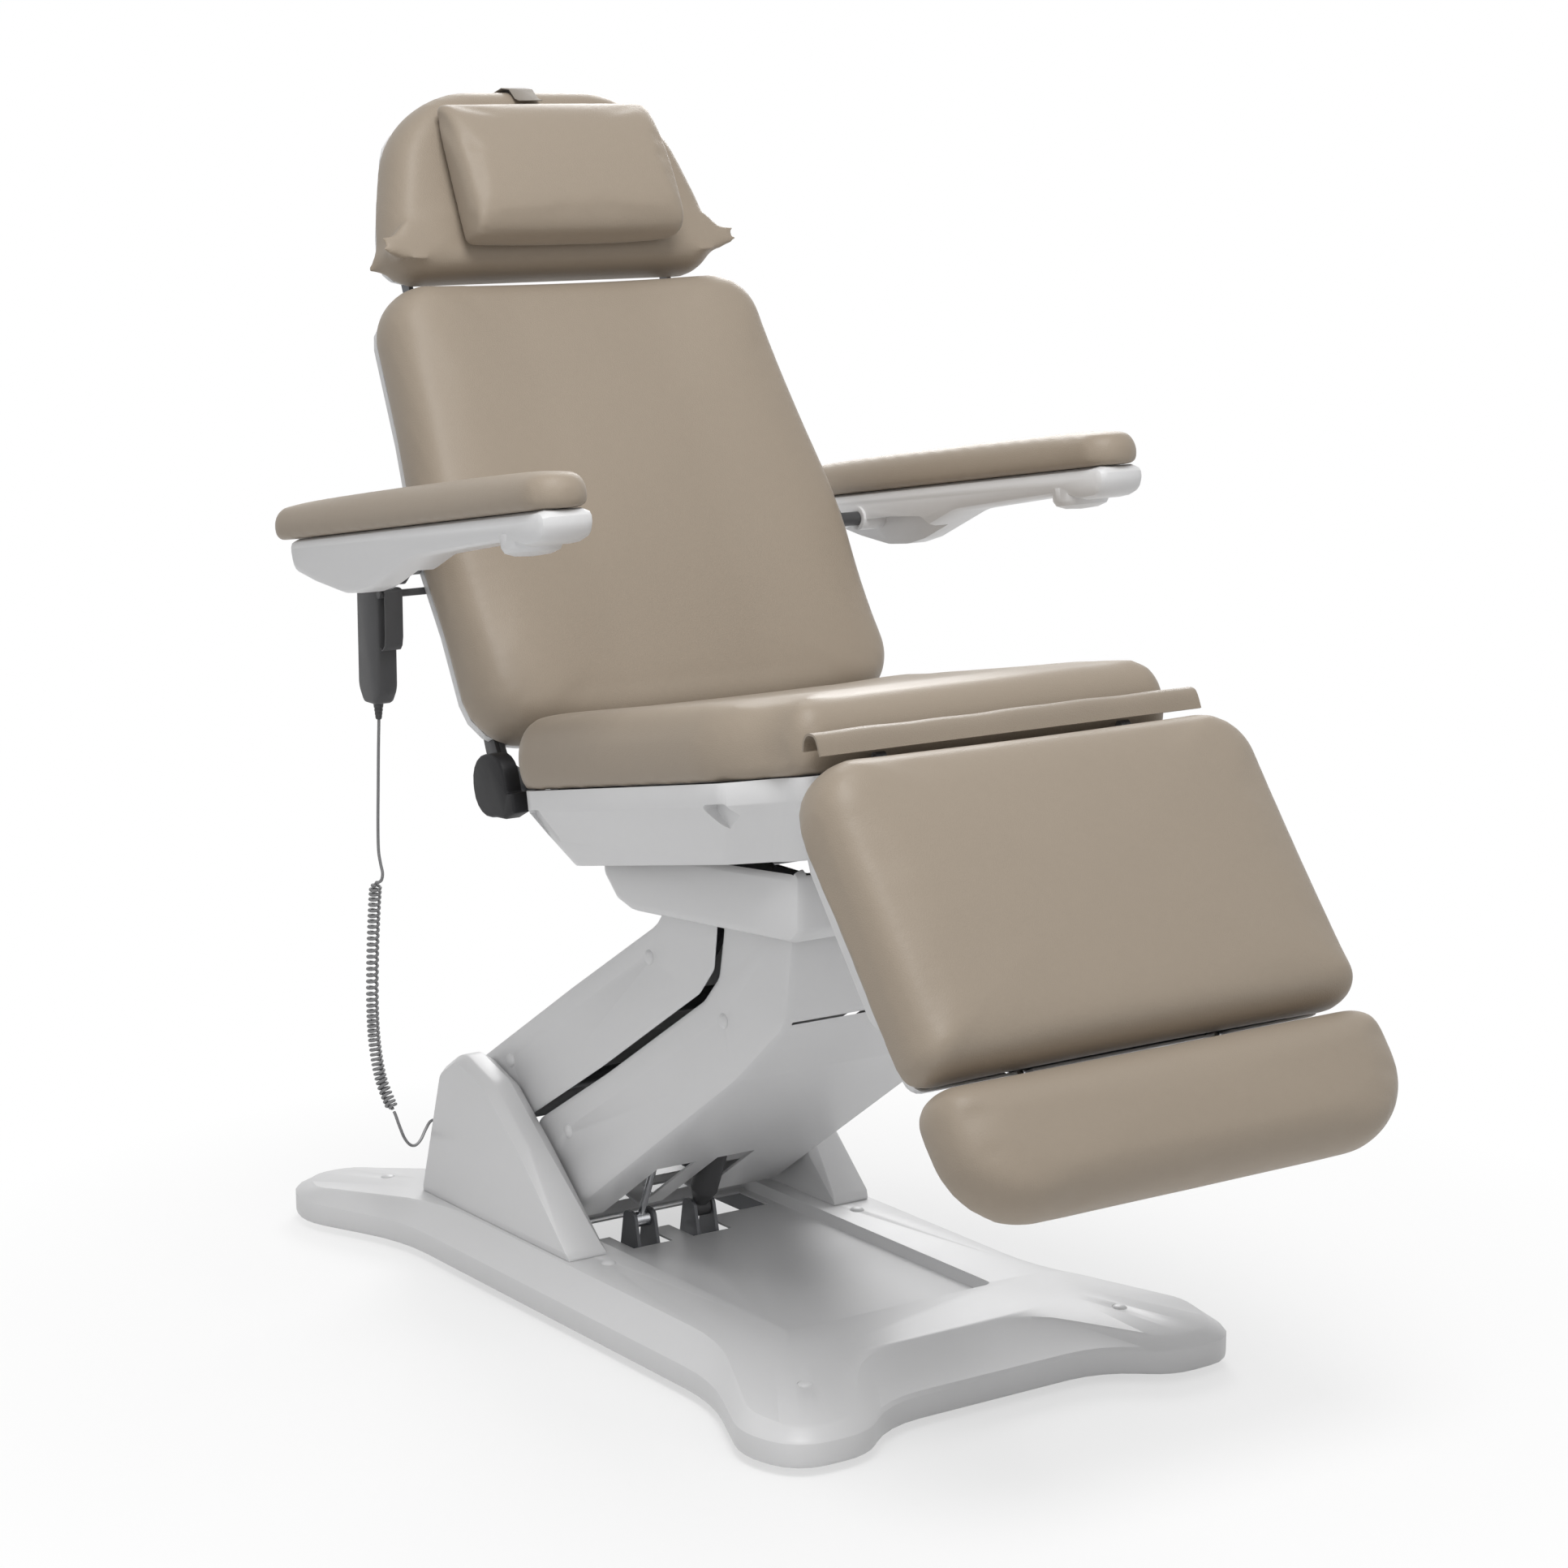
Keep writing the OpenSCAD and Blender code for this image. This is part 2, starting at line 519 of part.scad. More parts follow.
// Lift actuator and gas strut, both from the plinth's brackets up to the arm's lug
strut_len = norm([lug_y - bracket_y, lug_z - bracket_z]);
strut_lean = atan2(bracket_y - lug_y, lug_z - bracket_z);
eye_play = 3.2;
module along_strut(x) place() translate([x, bracket_y, bracket_z]) rotate([strut_lean, 0, 0]) children();
module eye(w, outer, bore) rotate([0, 90, 0]) difference() {
  cylinder(h = w, r = outer, center = true, $fn = 40);
  cylinder(h = w + 2, r = bore, center = true, $fn = 40);
}
actuator_tube_r = 19;
actuator_rod_r = 10;
module lift_actuator() along_strut(actuator_x) color(grey) {
  difference() {
    union() {
      eye(2 * ear_gap - 2, 13, pin_r + run_gap);
      translate([0, 0, 11]) cylinder(h = 22, r1 = 11, r2 = actuator_tube_r, $fn = 40);
      translate([0, 0, 33]) cylinder(h = 150, r = actuator_tube_r, $fn = 48);
      translate([-16, 0, 60]) cube([32, 44, 26]);
      translate([0, 44, 52]) cylinder(h = 105, r = 24, $fn = 48);
    }
    rotate([0, 90, 0]) cylinder(h = 60, r = pin_r + run_gap, center = true, $fn = 40);
    translate([0, 0, 90]) cylinder(h = 120, r = actuator_rod_r + run_gap, $fn = 40);
  }
}
module lift_actuator_rod() along_strut(actuator_x) color("#b9bcc0") difference() {
  union() {
    translate([0, 0, 140]) cylinder(h = strut_len - 150, r = actuator_rod_r, $fn = 40);
    translate([0, 0, strut_len]) eye(28, 15, pin_r + eye_play);
  }
  translate([0, 0, strut_len]) rotate([0, 90, 0]) cylinder(h = 60, r = pin_r + eye_play, center = true,
    $fn = 40);
}
gas_rod_r = 5;
gas_tube_r = 11;
module gas_strut_rod() along_strut(strut_x) color("#b9bcc0") difference() {
  union() {
    eye(2 * ear_gap - 2, 11, pin_r + run_gap);
    translate([0, 0, 9]) cylinder(h = 150, r = gas_rod_r, $fn = 32);
  }
  rotate([0, 90, 0]) cylinder(h = 60, r = pin_r + run_gap, center = true, $fn = 40);
}
module gas_strut_tube() along_strut(strut_x) color(dark) difference() {
  union() {
    translate([0, 0, 120]) cylinder(h = strut_len - 131, r = gas_tube_r, $fn = 40);
    translate([0, 0, strut_len]) eye(26, 14, pin_r + eye_play);
  }
  translate([0, 0, strut_len]) rotate([0, 90, 0]) cylinder(h = 60, r = pin_r + eye_play, center = true,
    $fn = 40);
  translate([0, 0, 110]) cylinder(h = 100, r = gas_rod_r + run_gap, $fn = 32);
}

// Seat
function to_local(y, z, a) = [y * cos(a) - z * sin(a), y * sin(a) + z * cos(a)];
function to_world(y, z, a) = [y * cos(a) + z * sin(a), -y * sin(a) + z * cos(a)];
seat_z = 718;
seat_rear = -88;
seat_front = seat_rear - seat_len;
part_gap = 0.3;
module on_seat() leaning(seat_tilt) children();
front_r = 38;
function seat_plan(w, n, rear, front, notch, r) = outline(
  [[-n, front], [n, front], [n, front + notch], [w, front + notch + 66], [w, rear], [-w, rear],
    [-w, front + notch + 66], [-n, front + notch]],
  [front_r, front_r, 36, 42, r, r, 42, 36], 4);
seat_outline = seat_plan(seat_x, seat_neck_x, seat_rear, seat_front, 64, 62);
module seat_cushion() on_seat() color(taupe) translate([0, 0, seat_z])
  cushion(seat_outline, seat_t, 36, 7);

tray_wall = 4;
tray_lip = 27;
tray_rim = inset(seat_outline, 12);
tray_foot = seat_plan(290, 262, seat_rear - 62, seat_front + 62, 60, 40);
tray_bottom = seat_z - tray_depth + 1;
module tray_shape(wall) skin([
  at_height(inset(tray_foot, wall + 3), tray_bottom + (wall > 0 ? 3 : 0)),
  at_height(inset(tray_foot, wall), tray_bottom + (wall > 0 ? 4 : 3)),
  at_height(inset(tray_rim, wall + 1), seat_z - tray_lip - 3),
  at_height(inset(tray_rim, wall), seat_z - tray_lip),
  at_height(inset(tray_rim, wall), seat_z - part_gap + (wall > 0 ? 1 : 0))
]);
// Slanted hand slots in the tray's sides, narrowing downwards
slot_shape = outline([[-60, -48], [-42, -46], [8, 2], [-42, 2]], [8, 8, 5, 5], 3);
slot_depth = 20;
module slot_cut(y, deep, grow) translate([seat_x - 12 - deep, y, seat_z - tray_lip]) rotate([90, 0, 90])
  linear_extrude(60 + deep) polygon(inset(slot_shape, -grow));
module hand_slots(deep, grow) for (s = [0, 1]) mirror([s, 0, 0]) {
  slot_cut(-122, deep, grow);
  slot_cut(-550, deep, grow);
}
hinge_x = 268;
hinge_t = 8;
knee_x = 180;
knee_t = 7;
module seat_tray() on_seat() color(white) difference() {
  union() {
    difference() {
      tray_shape(0);
      tray_shape(tray_wall);
    }
    intersection() {
      tray_shape(0);
      hand_slots(slot_depth + 22, 4);
    }
  }
  hand_slots(slot_depth, 0);
  translate([0, 0, tray_bottom - 10]) linear_extrude(20) polygon(inset(tray_foot, 8));
  for (s = [0, 1]) mirror([s, 0, 0]) {
    translate([hinge_x - 1, seat_rear - 30, seat_z - tray_lip - 1]) cube([hinge_t + 2, 40, tray_lip + 4]);
    translate([knee_x - 1, seat_front - 10, seat_z - tray_lip]) cube([knee_t + 2, 40, tray_lip + 4]);
  }
}

tilt_local = to_local(tilt_y, tilt_z, seat_tilt);
knee_y = -586;
knee_z = 850;
knee_r = 3.5;
knee_boss = 6.3;
knee_local = to_local(knee_y, knee_z, seat_tilt);
hinge_y = 92;
hinge_z = 722;
hinge_r = 9;
hinge_local = to_local(hinge_y, hinge_z, seat_tilt);
frame_h = 24;
frame_z = seat_z - part_gap - frame_h;
housing_x = 300;
module seat_frame() on_seat() color(steel) union() {
  for (y = [-690, -560, -420, -280, -182, -132]) translate([-215, y, frame_z]) cube([430, 26, frame_h]);
  cross_rod(tilt_local[0], tilt_local[1], shaft_r, -114, 114);
  for (s = [0, 1]) mirror([s, 0, 0]) {
    translate([201, -690, frame_z]) cube([28, 584, frame_h]);
    for (x = [86, 106]) side_plate(x, 7)
      rounded([[tilt_local[0] - 18, tilt_local[1] - 17], [tilt_local[0] + 18, tilt_local[1] - 17],
        [-110, frame_z + 8], [-182, frame_z + 8]], 9);
    side_plate(knee_x, knee_t)
      rounded([[-711, frame_z + 4], [-680, frame_z + 1], [-680, frame_z + 19], [-711, frame_z + 19.5],
        [knee_local[0] + 1, knee_local[1] + 4], [knee_local[0] - 5, knee_local[1] + 1],
        [knee_local[0] - 2, knee_local[1] - 5], [-719, 716]], 1);
    cross_rod(knee_local[0], knee_local[1], knee_boss, knee_x, knee_x + knee_t);
    cross_rod(knee_local[0], knee_local[1], knee_r, knee_x, knee_x + 2 * knee_t + 3);
    translate([220, -170, frame_z]) cube([hinge_x + hinge_t - 220, 34, 22]);
    side_plate(hinge_x, hinge_t)
      rounded([[-160, frame_z], [hinge_local[0] - 10, hinge_local[1] - 22],
        [hinge_local[0] + 18, hinge_local[1] - 16],
        [hinge_local[0] + 18, hinge_local[1] + 17], [hinge_local[0] - 12, hinge_local[1] + 17],
        [-86, frame_z + 21], [-160, frame_z + 21]], 6);
    cross_rod(hinge_local[0], hinge_local[1], hinge_r, hinge_x, housing_x + 10);
  }
}

// Covers of the recline hinges at the sides
module hinge_housings() on_seat() color(dark) for (s = [0, 1]) mirror([s, 0, 0]) difference() {
  side_skin_at(outline([[-98, 690], [-70, 682], [hinge_local[0] - 8, hinge_local[1] - 42],
    [hinge_local[0] + 42, hinge_local[1] - 42], [hinge_local[0] + 42, hinge_local[1] + 42],
    [hinge_local[0] - 40, hinge_local[1] + 42], [hinge_local[0] - 44, 716], [-98, 716]],
    [4, 6, 20, 38, 38, 34, 3, 4], 5), housing_x, 24, 4);
  cross_rod(hinge_local[0], hinge_local[1], hinge_r + part_gap, housing_x - 2, housing_x + 11);
}
module side_skin_at(pts, x, w, r) {
  rings = [[x, 0], [x + w - r, 0], [x + w - r * 0.3, r * 0.3], [x + w, r]];
  skin([for (q = rings) [for (p = inset(pts, q[1])) [q[0], p[0], p[1]]]]);
}

// Flap over the knee gap: a thin arched sheet held along the seat's front
flap_t = 3;
flap_arch = [[-613, 866], [-602, 887], [-586, 889], [-577, 880], [-575, 866]];
flap_in = [[-578, 866], [-579.7, 879], [-587, 886], [-600.4, 884], [-609.5, 866]];
module knee_flap() place() color(taupe) side_plate(-seat_neck_x, 2 * seat_neck_x)
  polygon(concat(reversed(flap_arch), reversed(flap_in)));

// Back
module on_back() leaning(back_lean) children();
back_rear_y = -372 + back_t;
back_z0 = 705;
back_z1 = back_z0 + back_len;
hinge_back = to_local(hinge_y, hinge_z, back_lean);
head_y = 475;
head_z = 1333;
head_hinge_r = 6;
head_lug_x = 200;
head_lug_t = 8;
head_back = to_local(head_y, head_z, back_lean);
back_outline = outline(
  [[-seat_x, back_z0], [seat_x, back_z0], [seat_x, back_z0 + 300], [back_top_x, back_z1],
    [-back_top_x, back_z1],
    [-seat_x, back_z0 + 300]],
  [84, 84, 400, 72, 72, 400], 4, 1, 3);
module back_cushion() on_back() color(taupe) upright_pad(back_rear_y) cushion(back_outline, back_t, 34, 9);
module back_shell_form(d, wall) mirror([0, 0, 1]) skin([
  at_height(inset(back_outline, 14 + wall), wall > 0 ? -1 : 0),
  at_height(inset(back_outline, 16 + wall), 14),
  at_height(inset(back_outline, 34 + wall), d - 6),
  at_height(inset(back_outline, 50 + wall), d)
]);
back_rail_x = 228;
back_rail_w = 24;
arm_pivot_y = 250;
arm_pivot_z = 1010;
arm_pivot_back = to_local(arm_pivot_y, arm_pivot_z, back_lean);
hook_back = to_local(267.5, 959.5, back_lean);
back_plate_x = hinge_x + hinge_t + 1;
module back_shell() on_back() color(white) difference() {
  upright_pad(back_rear_y + part_gap) difference() {
    back_shell_form(back_shell_t, 0);
    back_shell_form(back_shell_t - 3, 3);
  }
  for (s = [0, 1]) mirror([s, 0, 0]) {
    translate([back_plate_x - 2, back_rear_y, back_z0 - 5]) cube([18, back_shell_t - 8, 85]);
    translate([head_lug_x - 2, back_rear_y - 1, back_z1 - 60]) cube([head_lug_t + 4, 29, 100]);
    translate([back_rail_x, back_rear_y - 1, arm_pivot_back[1] - 13]) cube([120, 24, 26]);
  }
  cross_rod(hook_back[0], hook_back[1], 6, -345, -back_rail_x);
}
module back_frame() on_back() color(steel) difference() {
  union() {
    for (z = [back_z0 + 60, back_z0 + 330, back_z0 + 600])
      translate([-back_rail_x, back_rear_y + part_gap, z]) cube([2 * back_rail_x, 20, 24]);
    for (s = [0, 1]) mirror([s, 0, 0]) {
      translate([back_rail_x, back_rear_y + part_gap, back_z0 + 30]) cube([back_rail_w, 24, 600]);
      side_plate(head_lug_x, head_lug_t)
        rounded([[back_rear_y + 4, back_z1 - 60], [back_rear_y + 24, back_z1 - 60],
          [head_back[0] + 10, head_back[1]],
          [head_back[0] + 8, head_back[1] + 9], [head_back[0] - 8, head_back[1] + 9],
          [back_rear_y + 2, back_z1 - 20]], 4);
      cross_rod(head_back[0], head_back[1], head_hinge_r, head_lug_x, head_lug_x + 18);
      side_plate(back_plate_x, 8)
        rounded([[hinge_back[0] - 14, hinge_back[1] - 16], [hinge_back[0] + 16, hinge_back[1] - 14],
          [back_rear_y + 26, back_z0 + 40], [back_rear_y + 26, back_z0 + 120],
            [back_rear_y + 2, back_z0 + 120],
          [back_rear_y + 2, back_z0 - 3], [hinge_back[0] - 16, hinge_back[1] + 12]], 6);
      translate([back_rail_x, back_rear_y + 2, back_z0 + 80])
        cube([back_plate_x - back_rail_x + 1, 20, 26]);
    }
  }
  for (s = [-1, 1]) cross_rod(hinge_back[0], hinge_back[1], hinge_r + run_gap, s * back_plate_x - 20,
    s * back_plate_x + 20);
}
// Grey side plates at the back's lower corners
module hinge_plates() on_back() color(grey) for (s = [0, 1]) mirror([s, 0, 0])
  translate([back_plate_x + 8 + part_gap, 0, 0])
  difference() {
    side_plate(0, 6) rounded([[hinge_back[0] - 18, hinge_back[1] - 17],
      [hinge_back[0] + 18, hinge_back[1] - 17],
      [back_rear_y + 30, back_z0 + 20], [back_rear_y + 22, back_z0 + 70], [back_rear_y + 4, back_z0 + 70],
      [back_rear_y + 2, back_z0 - 6]], 8);
    cross_rod(hinge_back[0], hinge_back[1], hinge_r + run_gap, -5, 20);
  }

// Head
module on_head() leaning(head_lean) children();
head_rear_y = -183 + head_t;
head_z0 = 1419;
head_z1 = head_z0 + head_len;
hinge_head = to_local(head_y, head_z, head_lean);
head_outline = outline(
  [[-head_x, head_z0], [head_x, head_z0], [head_x - 4, head_z1 - 200], [head_x - 52, head_z1 - 40],
    [head_x - 150, head_z1], [150 - head_x, head_z1], [52 - head_x, head_z1 - 40],
      [4 - head_x, head_z1 - 200]],
  [44, 44, 200, 76, 90, 90, 76, 200], 3);
module head_cushion() on_head() color(taupe) upright_pad(head_rear_y) cushion(head_outline, head_t, 30, 5);
head_shell_t = 28;
module head_shell_form(d, wall) mirror([0, 0, 1]) skin([
  at_height(inset(head_outline, 12 + wall), wall > 0 ? -1 : 0),
  at_height(inset(head_outline, 14 + wall), 8),
  at_height(inset(head_outline, 24 + wall), d - 4),
  at_height(inset(head_outline, 36 + wall), d)
]);
head_arm_x = head_lug_x + head_lug_t + 1;
module head_shell() on_head() color(white) difference() {
  upright_pad(head_rear_y + part_gap) difference() {
    head_shell_form(head_shell_t, 0);
    head_shell_form(head_shell_t - 3, 3);
  }
  for (s = [0, 1]) mirror([s, 0, 0]) translate([head_lug_x - 3, head_rear_y - 1, head_z0 - 5])
    cube([22, 24, 60]);
}
module head_bracket() on_head() color(steel) difference() {
  union() {
    translate([-head_arm_x, head_rear_y + part_gap, head_z0 + 70]) cube([2 * head_arm_x, 5, 60]);
    for (s = [0, 1]) mirror([s, 0, 0]) side_plate(head_arm_x, 7)
      rounded([[hinge_head[0] - 8, hinge_head[1] - 11], [hinge_head[0] + 10, hinge_head[1] - 11],
        [head_rear_y + 20, head_z0 + 70], [head_rear_y + 16, head_z0 + 130],
          [head_rear_y + 1, head_z0 + 130],
        [head_rear_y + 1, head_z0 + 12]], 4);
  }
  for (s = [-1, 1]) cross_rod(hinge_head[0], hinge_head[1], head_hinge_r + run_gap, s * head_arm_x - 20,
    s * head_arm_x + 20);
}

// Head pillow and the elastic strap that holds it
pillow_y = -189;
pillow_outline = outline(
  [[-pillow_w / 2, 1445], [pillow_w / 2, 1445], [pillow_w / 2, 1660], [-pillow_w / 2, 1660]],
    [60, 60, 60, 60], 5, 1);
module pillow() on_head() color(taupe) upright_pad(pillow_y) cushion(pillow_outline, 50, 44, 15);
strap_x = -12;
strap_w = 38;
strap_line = [[-196, 1661.6], [-187, 1668], [-177, 1686], [-158, 1696], [-133, 1698.5], [-112, 1697],
  [-101, 1691],
  [-90, 1685], [-77.5, 1675], [-73.5, 1661], [-73.5, 1600]];
function offset_line(p, d) = [for (i = [0:len(p) - 1])
  p[i] - d * turn_left(unit(p[min(i + 1, len(p) - 1)] - p[max(i - 1, 0)]))];
module pillow_strap() on_head() color(dark) side_plate(strap_x - strap_w / 2, strap_w)
  polygon(concat(strap_line, reversed(offset_line(strap_line, 1.2))));

// Leg
module on_leg() leaning(leg_lean) children();
leg_rear_y = -1050 + leg_t;
leg_z0 = -105;
leg_z1 = leg_z0 + leg_len;
knee_leg = to_local(knee_y, knee_z, leg_lean);
leg_outline = outline([[-seat_x, leg_z0], [seat_x, leg_z0], [seat_x, leg_z1], [-seat_x, leg_z1]],
  [34, 34, 76, 76], 5, 2);
module leg_cushion() on_leg() color(taupe) upright_pad(leg_rear_y) cushion(leg_outline, leg_t, 30, 8);
guide_x = 150;
guide_y = leg_rear_y + 19;
guide_r = 9;
module leg_shell_form(wall) mirror([0, 0, 1]) {
  skin([
    at_height(inset(quad_box(312, -20, 262, 50), wall), wall > 0 ? -1 : 0),
    at_height(inset(quad_box(308, -16, 258, 50), wall), 16),
    at_height(inset(quad_box(300, -8, 250, 44), wall), (wall > 0 ? 40 : 43)),
    at_height(inset(quad_box(286, 6, 236, 30), wall), (wall > 0 ? 46 : 49))
  ]);
  skin([
    at_height(inset(quad_box(312, -96, 40, 30), wall), wall > 0 ? -1 : 0),
    at_height(inset(quad_box(308, -92, 40, 30), wall), 16),
    at_height(inset(quad_box(290, -76, 40, 20), wall), (wall > 0 ? 35 : 38))
  ]);
}
function quad_box(x, z0, z1, r) = outline([[-x, z0], [x, z0], [x, z1], [-x, z1]],
  [r * 0.6, r * 0.6, r, r], 4);
module leg_shell() on_leg() color(white) difference() {
  upright_pad(leg_rear_y + part_gap) difference() {
    leg_shell_form(0);
    leg_shell_form(3);
  }
  for (s = [0, 1]) mirror([s, 0, 0]) {
    translate([guide_x - 12, leg_rear_y - 1, leg_z0]) cube([24, 36, 60]);
    translate([knee_x + knee_t - 1, leg_rear_y - 1, 220]) cube([knee_t + 4, 16, 60]);
  }
}
module leg_frame() on_leg() color(steel) difference() {
  union() {
    for (z = [-40, 40]) translate([-200, leg_rear_y + 5, z]) cube([400, 26, 24]);
    translate([-200, leg_rear_y + part_gap, 200]) cube([400, 5, 30]);
    for (s = [0, 1]) mirror([s, 0, 0]) {
      translate([176, leg_rear_y + part_gap, -40]) cube([22, 12, 270]);
      side_plate(knee_x + knee_t + 0.5, knee_t)
        rounded([[leg_rear_y + 1, 205], [leg_rear_y + 10, 205], [leg_rear_y + 10, 303],
          [knee_leg[0] + 4, knee_leg[1] + 4.5],
          [knee_leg[0] - 2, knee_leg[1] + 4], [knee_leg[0] - 2, knee_leg[1] - 4], [leg_rear_y - 4, 305],
          [leg_rear_y + 1, 298]], 1);
      cross_rod(knee_leg[0], knee_leg[1], knee_boss, knee_x + knee_t + 0.5, knee_x + 2 * knee_t + 0.5);
    }
  }
  for (s = [-1, 1]) {
    cross_rod(knee_leg[0], knee_leg[1], knee_r + run_gap, s * (knee_x + 10) - 12, s * (knee_x + 10) + 12);
    translate([s * guide_x, guide_y, -60]) cylinder(h = 200, r = guide_r + run_gap, $fn = 48);
  }
}

// Foot
foot_z1 = leg_z0 - 4;
foot_z0 = foot_z1 - foot_len;
foot_outline = outline([[-seat_x, foot_z0], [seat_x, foot_z0], [seat_x, foot_z1], [-seat_x, foot_z1]],
  [100, 100, 38, 38], 6, 1);
module foot_cushion() on_leg() color(taupe) upright_pad(leg_rear_y) cushion(foot_outline, leg_t, 34, 6);
module foot_shell_form(wall) mirror([0, 0, 1]) skin([
  at_height(inset(foot_shell_outline(312, foot_z0 + 22), wall), wall > 0 ? -1 : 0),
  at_height(inset(foot_shell_outline(308, foot_z0 + 26), wall), 16),
  at_height(inset(foot_shell_outline(292, foot_z0 + 42), wall), wall > 0 ? 33 : 36)
]);
function foot_shell_outline(x, z0) = outline([[-x, z0], [x, z0], [x, foot_z1 - 6], [-x, foot_z1 - 6]],
  [80, 80, 14, 14], 5);
module foot_shell() on_leg() color(white) difference() {
  upright_pad(leg_rear_y + part_gap) difference() {
    foot_shell_form(0);
    foot_shell_form(3);
  }
  for (s = [0, 1]) mirror([s, 0, 0]) translate([guide_x - 12, leg_rear_y - 1, foot_z1 - 20])
    cube([24, 36, 40]);
}
module foot_slide() on_leg() color("#b9bcc0") {
  for (s = [-1, 1]) translate([s * guide_x, guide_y, foot_z0 + 70])
    cylinder(h = 330, r = guide_r, $fn = 40);
  translate([-guide_x - 24, leg_rear_y + part_gap, foot_z0 + 62]) cube([2 * guide_x + 48, 30, 24]);
  translate([-guide_x - 24, leg_rear_y + part_gap, foot_z0 + 112]) cube([2 * guide_x + 48, 30, 16]);
}

// Armrests
module on_arm() leaning(arm_slope) children();
arm_z0 = 1073.5;
arm_rear = 244;
arm_front = arm_rear - armrest_len;
arm_pivot = to_local(arm_pivot_y, arm_pivot_z, arm_slope);
arm_pivot_r = 10;
pad_outline = outline(
  [[-armrest_half, arm_front], [armrest_half, arm_front], [armrest_half, arm_rear],
    [-armrest_half, arm_rear]],
  [43, 43, 26, 26], 5, 1);
module armrest_pad() on_arm() color(taupe) translate([armrest_x, 0, arm_z0])
  cushion(pad_outline, 45, 20, 3.5);
casing_side = [
  [-466, arm_z0 - part_gap], [-456, 1034], [-415, 1031], [-363, 1041], [-260, 1038], [-133, 1033],
    [-19, 1000], [23, 994],
  [70, 996], [137, 1012], [198, 1031], [205, arm_z0 - part_gap]
];
casing_radii = [14, 24, 30, 60, 200, 100, 70, 60, 60, 100, 24, 14];
casing_half = 38;
module casing_inside() side_plate(armrest_x - casing_half - 5, casing_half + 2)
  polygon(outline([[-110, 980], [-60, 1031], [-2, 1034], [42, 1036], [145, 1030], [225, 1009], [225, 980]],
    [2, 20, 20, 60, 60, 2, 2], 3));
module armrest_casing() on_arm() color(white) difference() {
  union() {
    difference() {
      translate([armrest_x, 0, 0]) side_skin(outline(casing_side, casing_radii, 3), casing_half, 12);
      casing_inside();
    }
    translate([armrest_x, -370, 1020]) rotate_extrude($fn = 48)
      polygon([[0, 0], [22, 1.5], [34, 6], [38, 13], [38, 30], [0, 30]]);
    cross_rod(arm_pivot[0], arm_pivot[1], 17, armrest_x - casing_half - 4, armrest_x + 24);
  }
  cross_rod(arm_pivot[0], arm_pivot[1], arm_pivot_r + run_gap, armrest_x - casing_half - 10,
    armrest_x + 20);
}
module armrest_pad_left() armrest_pad();
module armrest_pad_right() mirror([1, 0, 0]) armrest_pad();
module armrest_casing_left() armrest_casing();
module armrest_casing_right() mirror([1, 0, 0]) armrest_casing();

// Brackets from the back's rails out to the armrest pivots, and the bar for the handset
arm_plate_in = 344;
module armrest_brackets() on_back() color(grey) {
  for (s = [0, 1]) mirror([s, 0, 0]) {
    translate([back_rail_x + back_rail_w + part_gap, back_rear_y + 2, arm_pivot_back[1] - 11])
      cube([arm_plate_in + 8 - back_rail_x - back_rail_w, 20, 22]);
    side_plate(arm_plate_in, 8) rounded([[arm_pivot_back[0] - 15, arm_pivot_back[1] - 15],
      [back_rear_y + 28, arm_pivot_back[1] - 26], [back_rear_y + 28, arm_pivot_back[1] + 15],
      [arm_pivot_back[0] - 15, arm_pivot_back[1] + 15]], 10);
    cross_rod(arm_pivot_back[0], arm_pivot_back[1], arm_pivot_r, arm_plate_in, armrest_x + 18);
  }
}

// Handset, hung on a bar from the back's right rail
handset_x = -368;
handset_y = 306;
handset_half = 15;
handset_top = 965;
handset_bottom = handset_top - handset_len;
hook_r = 5;
key_z = [846, 876, 906, 936];
key_h = 18;
key_w = 24;
key_pin_r = 1.2;
key_face = handset_x + handset_half;
key_pin_x = key_face - 2;
module handset_hook() on_back() color(grey)
  cross_rod(hook_back[0], hook_back[1], hook_r, -386, -back_rail_x - back_rail_w - part_gap);
clip_line = [[294, 967.5], [264, 967.5], [259.5, 966], [257.5, 961], [257.5, 902], [260, 890],
  [265, 884], [270, 883],
  [273, 887]];
module handset_body() place() color(dark) {
  difference() {
    translate([handset_x, 0, 0]) side_skin(outline([[handset_y - 30, handset_top], [handset_y - 30, 828],
      [handset_y - 16, handset_bottom], [handset_y + 16, handset_bottom], [handset_y + 30, 828],
      [handset_y + 30, handset_top]], [6, 30, 12, 12, 30, 6], 5), handset_half, 5);
    for (z = key_z) translate([key_face - 6, handset_y - key_w / 2 - 0.4, z - key_h / 2 - 0.4])
      cube([10, key_w + 0.8, key_h + 0.8]);
  }
  for (z = key_z) translate([key_pin_x, handset_y - key_w / 2 - 1, z]) rotate([-90, 0, 0])
    cylinder(h = key_w + 2, r = key_pin_r, $fn = 24);
}
module handset_clip() place() color(grey) translate([handset_x, 0, 0]) side_plate(-13.5, 27)
  polygon(concat(clip_line, reversed(offset_line(clip_line, -2.1))));
module handset_key(i) place() color("#8b8d90") translate([key_pin_x, handset_y, key_z[i]]) difference() {
  side_skin_at(outline([[-key_w / 2, -key_h / 2], [key_w / 2, -key_h / 2], [key_w / 2, key_h / 2],
    [-key_w / 2, key_h / 2]], [4, 4, 4, 4], 3), -2.2, 5.4, 1.2);
  rotate([90, 0, 0]) cylinder(h = key_w + 2, r = key_pin_r + run_gap, center = true, $fn = 24);
}
module handset_key_1() handset_key(0);
module handset_key_2() handset_key(1);
module handset_key_3() handset_key(2);
module handset_key_4() handset_key(3);
relief_len = 22;
